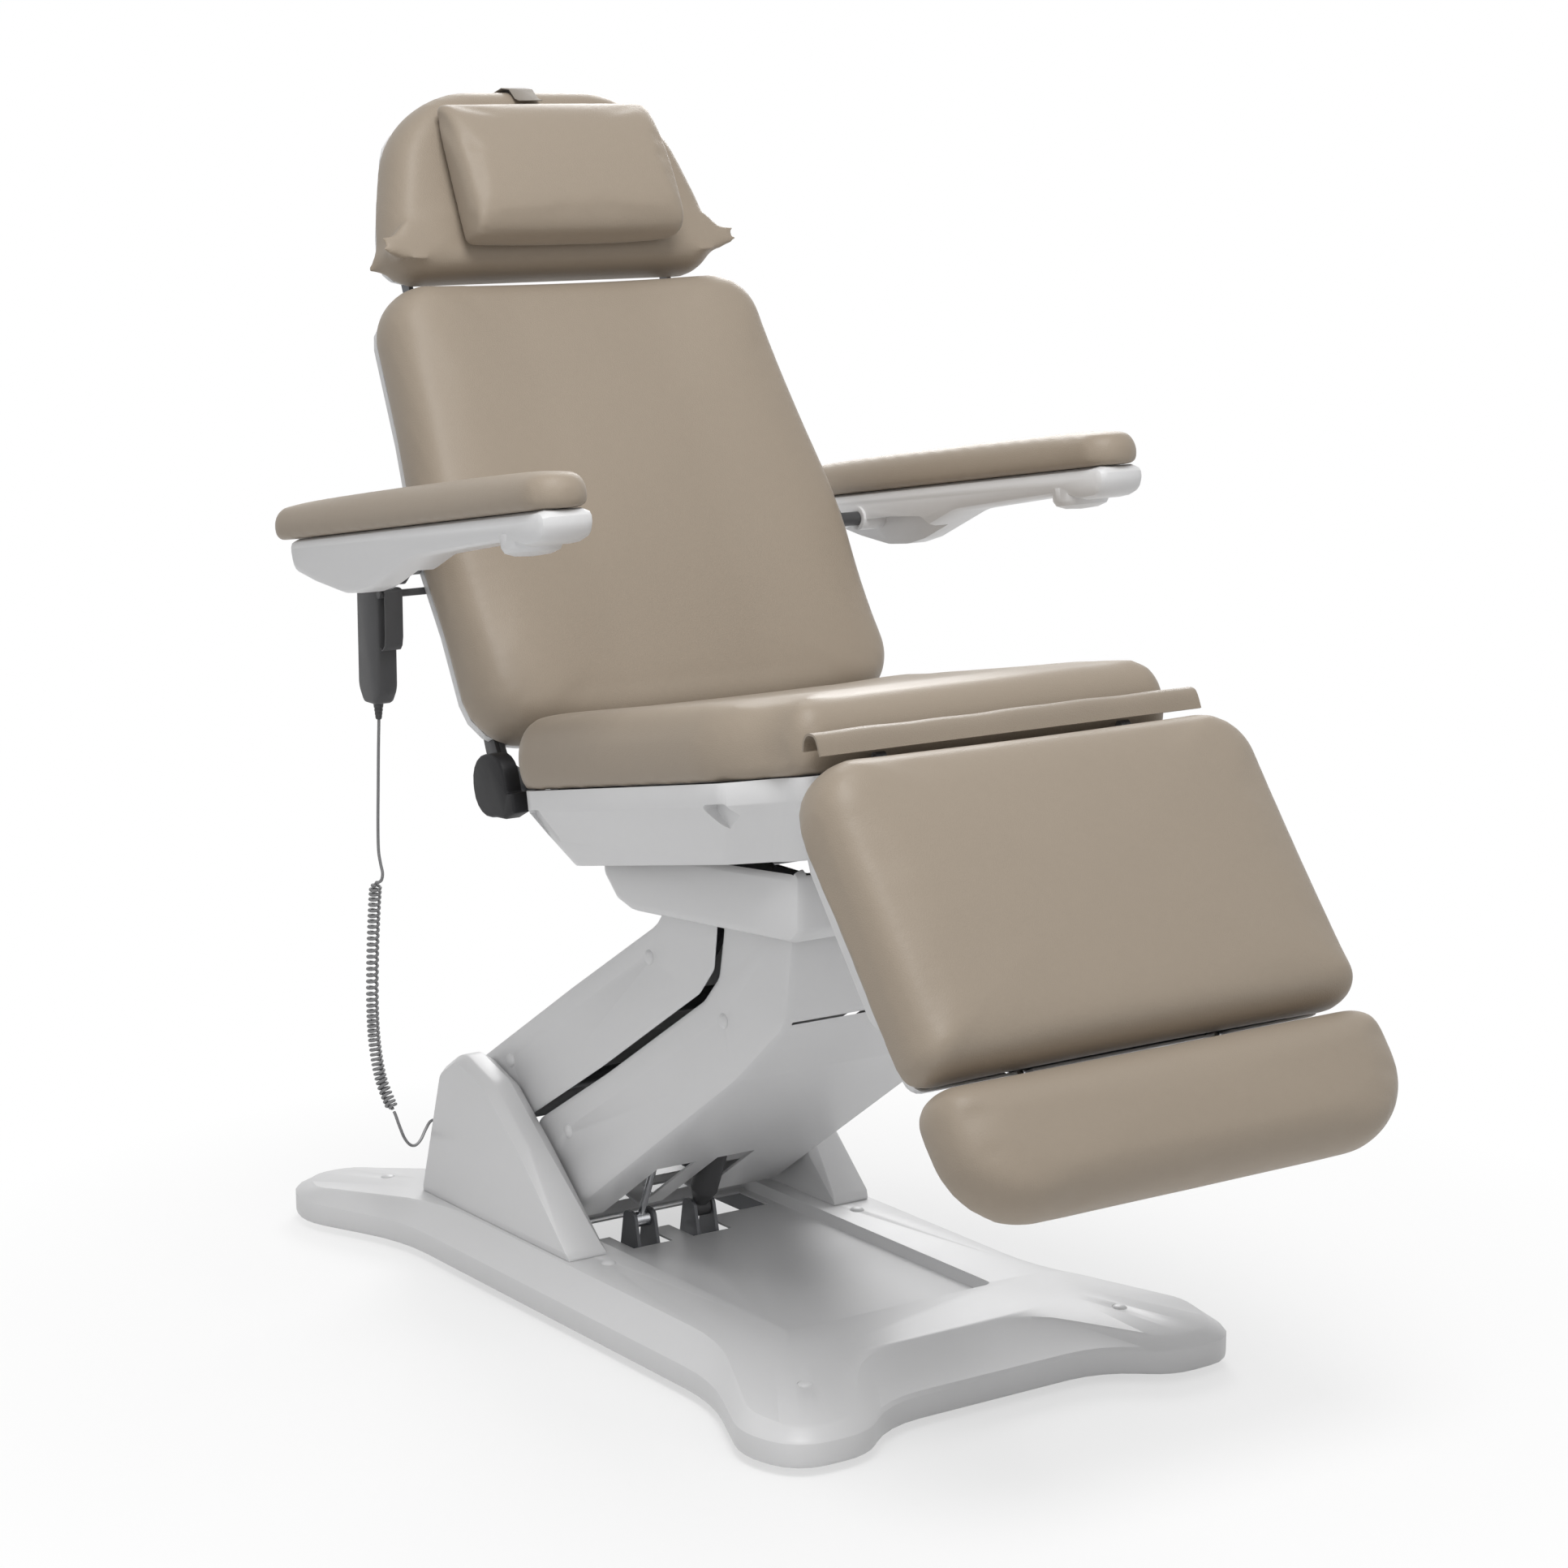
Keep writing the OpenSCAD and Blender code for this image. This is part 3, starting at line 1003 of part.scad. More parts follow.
module strain_relief() place() color(dark) translate([handset_x, handset_y,
  handset_bottom - part_gap - relief_len])
  difference() {
    rotate_extrude($fn = 32) polygon([[0, 0], [3.6, 0], [4.4, 2], [6.8, 20], [6.8, relief_len],
      [0, relief_len]]);
    for (z = [4, 9, 14]) translate([0, 0, z]) rotate_extrude($fn = 32) translate([4.2 + z / 12, 0])
      square([4, 1.8]);
  }

// Cords. The route points are in chair coordinates without the shift of the plinth's middle
lead_route = [
  [-368, 306, 784.4], [-368, 306, 779], [-369, 307, 740], [-370, 308, 690], [-371, 309, 640],
    [-371, 309, 604],
  [-371, 304, 586], [-371, 299, 574], [-371, 302, 564], [-371, 310, 559], [-371, 316.5, 557.6]
];
coil_route = [[-371, 319, 557], [-369, 330, 505], [-366, 342, 440], [-361, 354, 372], [-356, 359, 318],
  [-351, 352, 268],
  [-345, 331, 229]];
tail_route = [
  [-344.6, 329, 226.5], [-343.8, 326, 222], [-340, 322, 206], [-331, 325, 187], [-314, 340, 171],
    [-292, 364, 161],
  [-268, 392, 158], [-247, 416, 163], [-233, 427, 170], [-226.5, 425.5, 172], [-225, 417.6, 169.9]
];
function smooth(p, q, r, s, u) = 0.5 * (2 * q + (r - p) * u + (2 * p - 5 * q + 4 * r - s) * u * u
  + (3 * q - p - 3 * r + s) * u * u * u);
function along(v, t) = let (n = len(v) - 1, k = min(floor(t * n), n - 1), u = t * n - k)
  smooth(v[max(k - 1, 0)], v[k], v[k + 1], v[min(k + 2, n)], u);
function side_of(t) = unit([1, 0, 0] - t * t[0]);
function frame_ring(c, t, r, n, e) = let (f = cross(t, e))
  [for (i = [0:n - 1]) c + r * (cos(360 * i / n) * e + sin(360 * i / n) * f)];
module cord_tube(route, steps, n) {
  m = (len(route) - 1) * steps;
  pts = [for (i = [0:m]) along(route, i / m)];
  skin([for (i = [0:m]) let (t = unit(pts[min(i + 1, m)] - pts[max(i - 1, 0)]))
    frame_ring(pts[i], t, cord_d / 2, n, side_of(t))]);
}
module cord_lead() place() color(grey) cord_tube(lead_route, 2, 6);
module cord_tail() place() color(grey) cord_tube(tail_route, 2, 6);
coil_rings = 8;
coil_r = (curl_d - cord_d) / 2;
coil_steps = curl_count * coil_rings;
function coil_point(i) = let (
  u = i / coil_steps,
  v = 0.012 + 0.976 * u,
  c = along(coil_route, v),
  t = unit(along(coil_route, v + 0.01) - along(coil_route, v - 0.01)),
  e = side_of(t),
  f = cross(t, e),
  grow = min(1, i / coil_rings, (coil_steps - i) / coil_rings),
  w = grow * grow * (3 - 2 * grow),
  a = 360 * i / coil_rings
) c + coil_r * w * (cos(a) * e + sin(a) * f);
coil_path = concat([coil_route[0]], [for (i = [0:coil_steps]) coil_point(i)],
  [coil_route[len(coil_route) - 1]]);
module cord_coil() place() color(grey) skin([for (i = [0:len(coil_path) - 1]) let (
    last = len(coil_path) - 1,
    t = unit(coil_path[min(i + 1, last)] - coil_path[max(i - 1, 0)])
  ) frame_ring(coil_path[i], t, cord_d / 2, 6, side_of_any(t))]);
function side_of_any(t) = unit(cross(t, unit([0, 0.2, 1] - t * (t * [0, 0.2, 1]))));
coil_gap = min([for (i = [2 * coil_rings:coil_steps - 2 * coil_rings])
  for (j = [coil_rings - 3:coil_rings + 3])
  norm(coil_path[i] - coil_path[min(i + j, coil_steps)])]) - cord_d;
echo(coil_gap = coil_gap);

// Gland on the tower's rear and mains inlet at the plinth's rear
gland_at = [-225, 399.7, 165];
module cord_gland() place() color(dark) translate(gland_at) rotate([-75.5, 0, 0]) rotate_extrude($fn = 40)
  polygon([[0, 0], [9, 0], [9, 5], [6.5, 7], [3.4, 18], [0, 18]]);
module mains_inlet() place() color(dark) {
  difference() {
    union() {
      translate([-25, foot_y + 20.3, 19]) cube([50, 2.5, 22]);
      translate([-20, foot_y - 8, 22.5]) cube([40, 29, 13.5]);
    }
    translate([-17, foot_y, 25]) cube([34, 30, 10]);
  }
  for (x = [-9, 0, 9]) translate([x - 1, foot_y - 1, 27]) cube([2, 9, 5]);
}

base_frame();
base_cover();
tower_right();
tower_left();
levelling_feet();
plinth_plugs();
mains_inlet();
cord_gland();
lift_arm_frame();
lift_arm_cover();
lift_arm_plugs();
upper_link_frame();
upper_link_cover();
upper_link_plugs();
carriage_frame();
carriage_cover();
lift_actuator();
lift_actuator_rod();
gas_strut_rod();
gas_strut_tube();
seat_frame();
seat_tray();
seat_cushion();
knee_flap();
hinge_housings();
back_frame();
back_shell();
back_cushion();
hinge_plates();
head_bracket();
head_shell();
head_cushion();
pillow();
pillow_strap();
leg_frame();
leg_shell();
leg_cushion();
foot_slide();
foot_shell();
foot_cushion();
armrest_brackets();
armrest_casing_right();
armrest_casing_left();
armrest_pad_right();
armrest_pad_left();
handset_hook();
handset_body();
handset_clip();
handset_key_1();
handset_key_2();
handset_key_3();
handset_key_4();
strain_relief();
cord_lead();
cord_coil();
cord_tail();
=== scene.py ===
"""Beauty treatment chair: dressed parts, soft goods, cords and studio."""

import json
import logging
import math
from dataclasses import dataclass
from enum import Enum
from functools import cache, cached_property, partial
from typing import Callable, Sequence

import bmesh
import bpy
import numpy as np
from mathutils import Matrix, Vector

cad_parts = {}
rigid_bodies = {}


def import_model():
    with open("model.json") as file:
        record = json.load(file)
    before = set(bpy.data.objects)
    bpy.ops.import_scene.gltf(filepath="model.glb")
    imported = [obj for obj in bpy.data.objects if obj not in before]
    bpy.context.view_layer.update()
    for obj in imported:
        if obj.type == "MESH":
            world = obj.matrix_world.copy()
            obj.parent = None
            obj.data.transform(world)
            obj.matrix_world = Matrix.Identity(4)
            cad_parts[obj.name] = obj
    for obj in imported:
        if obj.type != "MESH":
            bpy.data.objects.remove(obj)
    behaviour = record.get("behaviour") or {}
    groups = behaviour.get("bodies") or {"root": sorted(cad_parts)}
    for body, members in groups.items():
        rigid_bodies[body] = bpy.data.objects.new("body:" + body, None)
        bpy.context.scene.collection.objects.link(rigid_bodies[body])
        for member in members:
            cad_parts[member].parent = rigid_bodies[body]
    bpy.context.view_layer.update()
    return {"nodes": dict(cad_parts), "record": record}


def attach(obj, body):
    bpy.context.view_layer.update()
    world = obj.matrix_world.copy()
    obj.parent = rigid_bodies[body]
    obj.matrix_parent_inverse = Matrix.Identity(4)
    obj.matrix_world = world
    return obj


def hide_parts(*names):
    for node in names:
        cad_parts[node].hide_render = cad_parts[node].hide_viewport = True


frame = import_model()
LOG = logging.getLogger("treatment_chair")

Object = bpy.types.Object
Tree = bpy.types.NodeTree
Socket = bpy.types.NodeSocket
Route = tuple[tuple[float, float, float], ...]

MM = 0.001
# Distance in mm from the plinth's middle to the middle of the row frame
BASE_Y = 170.0
# Leans of the sections in degrees
SEAT_LEAN = 10.3
BACK_LEAN = 30.7
HEAD_LEAN = 23.4
LEG_LEAN = 37.6
ARM_LEAN = 9.0
# Half width in mm of the cushions of seat, back and legs
HALF_SEAT = 337.0


# Outlines and routes, in millimetres

def unit(vector: np.ndarray) -> np.ndarray:
    """Return the vector at length one."""
    return vector / np.linalg.norm(vector)


def corner_arc(before: np.ndarray, at: np.ndarray, after: np.ndarray, radius: float,
               steps: int) -> list[np.ndarray]:
    """Round one corner of an outline.

    Args:
        before: Corner before it.
        at: The corner.
        after: Corner after it.
        radius: Radius of the arc.
        steps: Number of chords.

    Returns:
        The points of the arc.
    """
    u, v = unit(before - at), unit(after - at)
    half = math.acos(max(-1.0, min(1.0, float(u @ v)))) / 2
    middle = at + unit(u + v) * radius / math.sin(half)
    start = at + u * radius / math.tan(half) - middle
    end = at + v * radius / math.tan(half) - middle
    first = math.atan2(start[1], start[0])
    sweep = (math.atan2(end[1], end[0]) - first + 3 * math.pi) % (2 * math.pi) - math.pi
    angles = [first + sweep * i / steps for i in range(steps + 1)]
    return [middle + radius * np.array([math.cos(a), math.sin(a)]) for a in angles]


def outline(corners: Sequence[Sequence[float]], radii: Sequence[float], steps: int, between: int,
            pull: float = 0.0) -> np.ndarray:
    """Make a closed outline with rounded corners.

    Args:
        corners: Corner points, anticlockwise.
        radii: One radius for each corner.
        steps: Chords in each corner.
        between: Points along each straight edge.
        pull: How far an edge's middle is drawn in.

    Returns:
        The outline's points, one row each.
    """
    pts = [np.array(c, float) for c in corners]
    n = len(pts)
    arcs = [corner_arc(pts[i - 1], pts[i], pts[(i + 1) % n], radii[i], steps) for i in range(n)]
    made: list[np.ndarray] = []
    for i, arc in enumerate(arcs):
        made += arc
        a, b = arc[-1], arcs[(i + 1) % n][0]
        along = unit(b - a)
        inward = np.array([-along[1], along[0]])
        for j in range(1, between + 1):
            u = j / (between + 1)
            made.append(a + (b - a) * u + pull * math.sin(math.pi * u) * inward)
    return np.array(made)


def inset(points: np.ndarray, depth: float) -> np.ndarray:
    """Return the outline moved in by depth."""
    chord = np.roll(points, -1, axis=0) - np.roll(points, 1, axis=0)
    chord /= np.linalg.norm(chord, axis=1)[:, None]
    return points + depth * np.stack([-chord[:, 1], chord[:, 0]], axis=1)


def box_outline(x: float, low: float, high: float, radii: Sequence[float], steps: int,
                between: int, pull: float = 0.0) -> np.ndarray:
    """Return a rounded box outline of half width x, from low to high."""
    return outline([(-x, low), (x, low), (x, high), (-x, high)], radii, steps, between, pull)


def on_route(points: np.ndarray, place: float) -> np.ndarray:
    """Return a point of the smooth curve through the points, place of them along it."""
    last = len(points) - 1
    k = min(int(place), last - 1)
    u = place - k
    p, q, r, s = points[max(k - 1, 0)], points[k], points[k + 1], points[min(k + 2, last)]
    return 0.5 * (2 * q + (r - p) * u + (2 * p - 5 * q + 4 * r - s) * u * u
                  + (3 * q - p - 3 * r + s) * u ** 3)


def smooth_route(points: Sequence[Sequence[float]], steps: int) -> np.ndarray:
    """Return a smooth curve through the points, with steps pieces between each two."""
    pts = np.array(points, float)
    return np.array([on_route(pts, i / steps) for i in range((len(pts) - 1) * steps + 1)])


@dataclass(frozen=True)
class Plane:
    """The plane that a pad lies on, in the leaning frame of its section.

    Attributes:
        lean: Lean of the section in degrees.
        base: Place of the pad's underside.
        upright: True where the pad faces the foot end, False where it faces up.
        across: Sideways place of the pad's middle.
    """

    lean: float
    base: float
    upright: bool
    across: float = 0.0

    @property
    def turn(self) -> tuple[float, float]:
        """Return the lean's cosine and sine."""
        return math.cos(math.radians(self.lean)), math.sin(math.radians(self.lean))

    def place(self, pad: np.ndarray) -> np.ndarray:
        """Turn pad coordinates in mm to points of the row frame in metres."""
        x = pad[:, 0] + self.across
        y = self.base - pad[:, 2] if self.upright else pad[:, 1]
        z = pad[:, 1] if self.upright else self.base + pad[:, 2]
        c, s = self.turn
        return np.stack([x, y * c + z * s + BASE_Y, -y * s + z * c], axis=1) * MM

    def back_to_pad(self, points: np.ndarray) -> np.ndarray:
        """Turn points of the row frame in metres back to pad coordinates in mm."""
        p = points / MM
        c, s = self.turn
        across, up = p[:, 1] - BASE_Y, p[:, 2]
        y, z = across * c - up * s, across * s + up * c
        if self.upright:
            return np.stack([p[:, 0] - self.across, z, self.base - y], axis=1)
        return np.stack([p[:, 0] - self.across, y, z - self.base], axis=1)


# Objects and meshes

# Points of a new mesh that lie closer than this, in metres, become one
WELD = 2e-6


def linked_object(name: str, data: bpy.types.ID) -> Object:
    """Make an object at the origin and link it to the scene."""
    made = bpy.data.objects.new(name, data)
    bpy.context.scene.collection.objects.link(made)
    return made


def shade_smooth(mesh: bpy.types.Mesh) -> None:
    """Shade every face smooth."""
    mesh.polygons.foreach_set("use_smooth", [True] * len(mesh.polygons))


def new_object(name: str, vertices: np.ndarray, faces: Sequence[Sequence[int]]) -> Object:
    """Make a mesh object at the origin.

    Args:
        name: Name of the piece.
        vertices: Points in the row frame, in metres.
        faces: Corner indices of each face.

    Returns:
        The new object, with its faces turned outwards.
    """
    mesh = bpy.data.meshes.new(name)
    mesh.from_pydata([tuple(map(float, v)) for v in vertices], [], [tuple(f) for f in faces])
    bm = bmesh.new()
    bm.from_mesh(mesh)
    bmesh.ops.remove_doubles(bm, verts=bm.verts, dist=WELD)
    bmesh.ops.recalc_face_normals(bm, faces=bm.faces)
    bm.to_mesh(mesh)
    bm.free()
    shade_smooth(mesh)
    return linked_object(name, mesh)


def ring_faces(rings: int, count: int) -> list[tuple[int, ...]]:
    """Return the faces of a closed skin through rings of count points each."""
    faces: list[tuple[int, ...]] = []
    for k in range(rings - 1):
        for i in range(count):
            j = (i + 1) % count
            faces.append((k * count + i, k * count + j, (k + 1) * count + j, (k + 1) * count + i))
    faces.append(tuple(reversed(range(count))))
    faces.append(tuple(range((rings - 1) * count, rings * count)))
    return faces


def add_modifier(piece: Object, kind: str, **values: object) -> bpy.types.Modifier:
    """Add a modifier and set its values."""
    made = piece.modifiers.new(kind.title(), kind)
    for name, value in values.items():
        setattr(made, name, value)
    return made


def bake_modifiers(piece: Object) -> None:
    """Turn the piece's modifiers into its plain mesh."""
    bpy.context.view_layer.update()
    graph = bpy.context.evaluated_depsgraph_get()
    mesh = bpy.data.meshes.new_from_object(piece.evaluated_get(graph))
    piece.modifiers.clear()
    old = piece.data
    piece.data = mesh
    if old.users == 0:
        bpy.data.batch_remove([old])


def coordinates(mesh: bpy.types.Mesh) -> np.ndarray:
    """Return the mesh's points, one row each."""
    flat = np.zeros(len(mesh.vertices) * 3, np.float32)
    mesh.vertices.foreach_get("co", flat)
    return flat.reshape(-1, 3).astype(float)


def set_coordinates(mesh: bpy.types.Mesh, points: np.ndarray) -> None:
    """Write the mesh's points."""
    mesh.vertices.foreach_set("co", points.astype(np.float32).reshape(-1))
    mesh.update()


# Nodes and shader groups


def add_node(tree: Tree, kind: str, **values: object) -> bpy.types.Node:
    """Add a node to a tree.

    Args:
        tree: The tree.
        kind: The node's type.
        **values: Its settings. A name with a capital is an input, with its default or the socket
            that is linked to it.

    Returns:
        The node.
    """
    made = tree.nodes.new(kind)
    for name, value in values.items():
        if not name[0].isupper():
            setattr(made, name, value)
        elif isinstance(value, Socket):
            tree.links.new(value, made.inputs[name.replace("_", " ")])
        else:
            made.inputs[name.replace("_", " ")].default_value = value
    return made


def link_all(tree: Tree, *pairs: tuple[Socket, Socket]) -> None:
    """Link the first socket of each pair to the second."""
    for start, end in pairs:
        tree.links.new(start, end)


class Group:
    """A shader node group with named inputs and outputs."""

    def __init__(self, name: str, inputs: dict[str, float | tuple[float, ...]],
                 outputs: dict[str, str]) -> None:
        """Make the group.

        Args:
            name: Name of the group.
            inputs: Default of each input, a number or a colour.
            outputs: Socket type of each output.
        """
        self.tree = bpy.data.node_groups.new(name, "ShaderNodeTree")
        for label, value in inputs.items():
            kind = "NodeSocketColor" if isinstance(value, tuple) else "NodeSocketFloat"
            made = self.tree.interface.new_socket(label, in_out="INPUT", socket_type=kind)
            made.default_value = value
        for label, kind in outputs.items():
            self.tree.interface.new_socket(label, in_out="OUTPUT", socket_type=kind)
        self.inputs = self.tree.nodes.new("NodeGroupInput").outputs
        self.outputs = self.tree.nodes.new("NodeGroupOutput").inputs

    def node(self, kind: str, **values: object) -> bpy.types.Node:
        """Add a node and set its values."""
        return add_node(self.tree, kind, **values)

    def join(self, *pairs: tuple[Socket, Socket]) -> None:
        """Link the first socket of each pair to the second."""
        link_all(self.tree, *pairs)

    def result(self, operation: str, a: Socket, b: Socket | float) -> Socket:
        """Return what a Math node makes of two numbers."""
        made = self.node("ShaderNodeMath", operation=operation)
        self.join((a, made.inputs[0]))
        if isinstance(b, (int, float)):
            made.inputs[1].default_value = b
        else:
            self.join((b, made.inputs[1]))
        return made.outputs[0]

    def times(self, a: Socket, b: Socket | float) -> Socket:
        """Return the product of two numbers."""
        return self.result("MULTIPLY", a, b)

    def plus(self, a: Socket, b: Socket | float) -> Socket:
        """Return the sum of two numbers."""
        return self.result("ADD", a, b)


# Output of the groups that make a relief
HEIGHT = {"Height": "NodeSocketFloat"}
# Fine patches of tone beside the wide ones: how much finer, and how strong
FINE_SCALE = 23.0
FINE_SHARE = 0.35
# Tone at the middle of both noises
TONE_MIDDLE = 0.675
# Painted shade: darkening where the surface turns away from the eye, at an Edge of one
PAINTED_GRAZING_SHADE = -0.16


@cache
def tone_group() -> Tree:
    """Build the group that varies a colour softly and paints shade towards its outline."""
    g = Group("Surface tone",
              {"Color": (0.5, 0.5, 0.5, 1.0), "Size": 4.0, "Amount": 0.1, "Edge": 0.1},
              {"Color": "NodeSocketColor", "Mask": "NodeSocketFloat"})
    at, size = g.node("ShaderNodeTexCoord").outputs["Object"], g.inputs["Size"]
    wide = g.node("ShaderNodeTexNoise", Vector=at, Scale=size, Detail=3.0, Roughness=0.55)
    fine = g.node("ShaderNodeTexNoise", Vector=at, Scale=g.times(size, FINE_SCALE), Detail=2.0,
                  Roughness=0.5)
    patches = g.plus(wide.outputs["Fac"], g.times(fine.outputs["Fac"], FINE_SHARE))
    centred = g.times(g.plus(patches, -TONE_MIDDLE), g.inputs["Amount"])
    # Painted shade: the colour darkens where the surface turns away from the eye
    turned = g.node("ShaderNodeLayerWeight", Blend=0.35)
    edge = g.times(g.times(turned.outputs["Facing"], PAINTED_GRAZING_SHADE), g.inputs["Edge"])
    level = g.plus(g.plus(centred, edge), 1.0)
    tint = g.node("ShaderNodeMix", data_type="RGBA", blend_type="MULTIPLY")
    tint.inputs[0].default_value = 1.0
    grey = g.node("ShaderNodeCombineColor", Red=level, Green=level, Blue=level)
    g.join((g.inputs["Color"], tint.inputs[6]), (grey.outputs[0], tint.inputs[7]),
           (tint.outputs[2], g.outputs["Color"]), (wide.outputs["Fac"], g.outputs["Mask"]))
    return g.tree


@cache
def leather_group() -> Tree:
    """Build the height of a fine pebbled grain with soft creases."""
    g = Group("Upholstery grain", {"Cells": 700.0, "Pebble": 1.0, "Crease": 0.3}, HEIGHT)
    at = g.node("ShaderNodeTexCoord").outputs["Object"]
    cells = g.node("ShaderNodeTexVoronoi", feature="SMOOTH_F1", Vector=at,
                   Scale=g.inputs["Cells"], Smoothness=0.6)
    crease = g.node("ShaderNodeTexNoise", Vector=at, Scale=38.0, Detail=4.0, Roughness=0.6,
                    Distortion=0.8)
    pebble = g.times(cells.outputs["Distance"], g.inputs["Pebble"])
    fold = g.times(crease.outputs["Fac"], g.inputs["Crease"])
    g.join((g.plus(pebble, fold), g.outputs["Height"]))
    return g.tree


@cache
def moulded_group() -> Tree:
    """Build the height of spark-eroded moulded plastic or powder coat."""
    g = Group("Moulded texture", {"Grain": 900.0, "Wave": 0.4}, HEIGHT)
    at = g.node("ShaderNodeTexCoord").outputs["Object"]
    grain = g.node("ShaderNodeTexNoise", Vector=at, Scale=g.inputs["Grain"], Detail=2.0,
                   Roughness=0.7)
    wave = g.node("ShaderNodeTexNoise", Vector=at, Scale=7.0, Detail=1.0)
    waves = g.times(wave.outputs["Fac"], g.inputs["Wave"])
    g.join((g.plus(grain.outputs["Fac"], waves), g.outputs["Height"]))
    return g.tree


@cache
def brushed_group() -> Tree:
    """Build the height of metal drawn or brushed along one axis."""
    g = Group("Drawn metal", {"Lines": 900.0, "Length": 12.0}, HEIGHT)
    at = g.node("ShaderNodeTexCoord").outputs["Object"]
    split = g.node("ShaderNodeSeparateXYZ", Vector=at)
    axes = {axis: g.times(split.outputs[axis], g.inputs[label])
            for axis, label in zip("XYZ", ("Lines", "Length", "Length"))}
    joined = g.node("ShaderNodeCombineXYZ", **axes)
    lines = g.node("ShaderNodeTexNoise", Vector=joined.outputs[0], Scale=1.0, Detail=2.0)
    g.join((lines.outputs["Fac"], g.outputs["Height"]))
    return g.tree


class Relief(Enum):
    """The kinds of surface relief."""

    LEATHER = "leather"
    MOULDED = "moulded"
    BRUSHED = "brushed"


BUILDERS: dict[Relief, Callable[[], Tree]] = {
    Relief.LEATHER: leather_group, Relief.MOULDED: moulded_group, Relief.BRUSHED: brushed_group}


@dataclass(frozen=True)
class Finish:
    """A finish of the chair.

    Attributes:
        name: Name of the material.
        slot: The record's material slot; not used.
        colour: Linear base colour.
        relief: Kind of surface relief.
        relief_inputs: Values of the relief group's inputs.
        depth: Height of the relief in metres.
        rough: Lowest and highest roughness.
        amount: Variation of tone over the surface.
        edge: Strength of the painted shade, a darkening towards the outline.
        size: Scale of the tone's patches.
        metallic: Metal share.
        sheen: Sheen weight.
        specular: Specular level.
    """

    name: str
    slot: str
    colour: tuple[float, float, float]
    relief: Relief
    relief_inputs: tuple[tuple[str, float], ...]
    depth: float
    rough: tuple[float, float]
    amount: float
    edge: float
    size: float
    metallic: float = 0.0
    sheen: float = 0.0
    specular: float = 0.5

    def material(self) -> bpy.types.Material:
        """Return the finish's material, built once."""
        found = bpy.data.materials.get(self.name)
        if found:
            return found
        made = bpy.data.materials.new(self.name)
        made.use_nodes = True
        made.diffuse_color = (*self.colour, 1.0)
        tree = made.node_tree
        shader = tree.nodes["Principled BSDF"]
        for label, value in (("Metallic", self.metallic), ("Sheen Weight", self.sheen),
                             ("Specular IOR Level", self.specular), ("Sheen Roughness", 0.4)):
            shader.inputs[label].default_value = value
        # The tone group varies the colour and paints shade towards the outline, as strong as edge
        tone = add_node(tree, "ShaderNodeGroup", node_tree=tone_group())
        for label, value in (("Color", (*self.colour, 1.0)), ("Size", self.size),
                             ("Amount", self.amount), ("Edge", self.edge)):
            tone.inputs[label].default_value = value
        rough = add_node(tree, "ShaderNodeMapRange", Value=tone.outputs["Mask"], From_Min=0.3,
                         From_Max=0.7, To_Min=self.rough[0], To_Max=self.rough[1])
        relief = add_node(tree, "ShaderNodeGroup", node_tree=BUILDERS[self.relief]())
        for label, value in self.relief_inputs:
            relief.inputs[label].default_value = value
        bump = add_node(tree, "ShaderNodeBump", Strength=0.6, Distance=self.depth,
                        Height=relief.outputs["Height"])
        link_all(tree, (tone.outputs["Color"], shader.inputs["Base Color"]),
                 (rough.outputs["Result"], shader.inputs["Roughness"]),
                 (bump.outputs["Normal"], shader.inputs["Normal"]))
        return made

    def dress(self, piece: Object) -> None:
        """Put the finish on a new piece."""
        piece.data.materials.clear()
        piece.data.materials.append(self.material())


VINYL = Finish(
    "Taupe vinyl", "vinyl", (0.352, 0.292, 0.228), Relief.LEATHER,
    (("Cells", 620.0), ("Pebble", 0.7), ("Crease", 0.5)), depth=0.00045, rough=(0.44, 0.56),
    amount=0.10, edge=0.25, size=3.0, sheen=0.12, specular=0.42)
# The flap's vinyl: the seat's vinyl darkened all over as painted shade, with deeper creases
SHADED_FLAP_VINYL = Finish(
    "Flap vinyl with painted shade", "vinyl", (0.315, 0.262, 0.205), Relief.LEATHER,
    (("Cells", 620.0), ("Pebble", 0.7), ("Crease", 0.9)), depth=0.0006, rough=(0.4, 0.55),
    amount=0.12, edge=0.2, size=5.0, sheen=0.12, specular=0.42)
WHITE = Finish(
    "White moulded plastic", "white_plastic", (0.76, 0.76, 0.765), Relief.MOULDED,
    (("Grain", 800.0), ("Wave", 0.5)), depth=0.00012, rough=(0.34, 0.46),
    amount=0.04, edge=0.3, size=3.0)
BLACK = Finish(
    "Black moulded plastic", "black_plastic", (0.022, 0.022, 0.024), Relief.MOULDED,
    (("Grain", 1100.0), ("Wave", 0.3)), depth=0.0002, rough=(0.36, 0.52),
    amount=0.35, edge=0.8, size=12.0, specular=0.2)
GREY = Finish(
    "Grey moulded plastic", "grey_plastic", (0.085, 0.085, 0.088), Relief.MOULDED,
    (("Grain", 1100.0), ("Wave", 0.3)), depth=0.0002, rough=(0.38, 0.52),
    amount=0.2, edge=0.6, size=12.0, specular=0.3)
KEY_RUBBER = Finish(
    "Soft key", "key_rubber", (0.25, 0.255, 0.265), Relief.MOULDED,
    (("Grain", 1500.0), ("Wave", 0.2)), depth=0.0001, rough=(0.6, 0.75),
    amount=0.15, edge=0.4, size=30.0)
FRAME = Finish(
    "Powder-coated frame", "frame_metal", (0.16, 0.165, 0.175), Relief.MOULDED,
    (("Grain", 600.0), ("Wave", 0.6)), depth=0.0003, rough=(0.4, 0.6),
    amount=0.2, edge=0.7, size=8.0, metallic=0.35)
ROD = Finish(
    "Ground rod", "polished_rod", (0.62, 0.63, 0.65), Relief.BRUSHED,
    (("Lines", 1400.0), ("Length", 20.0)), depth=0.00008, rough=(0.18, 0.3),
    amount=0.08, edge=0.2, size=20.0, metallic=1.0)
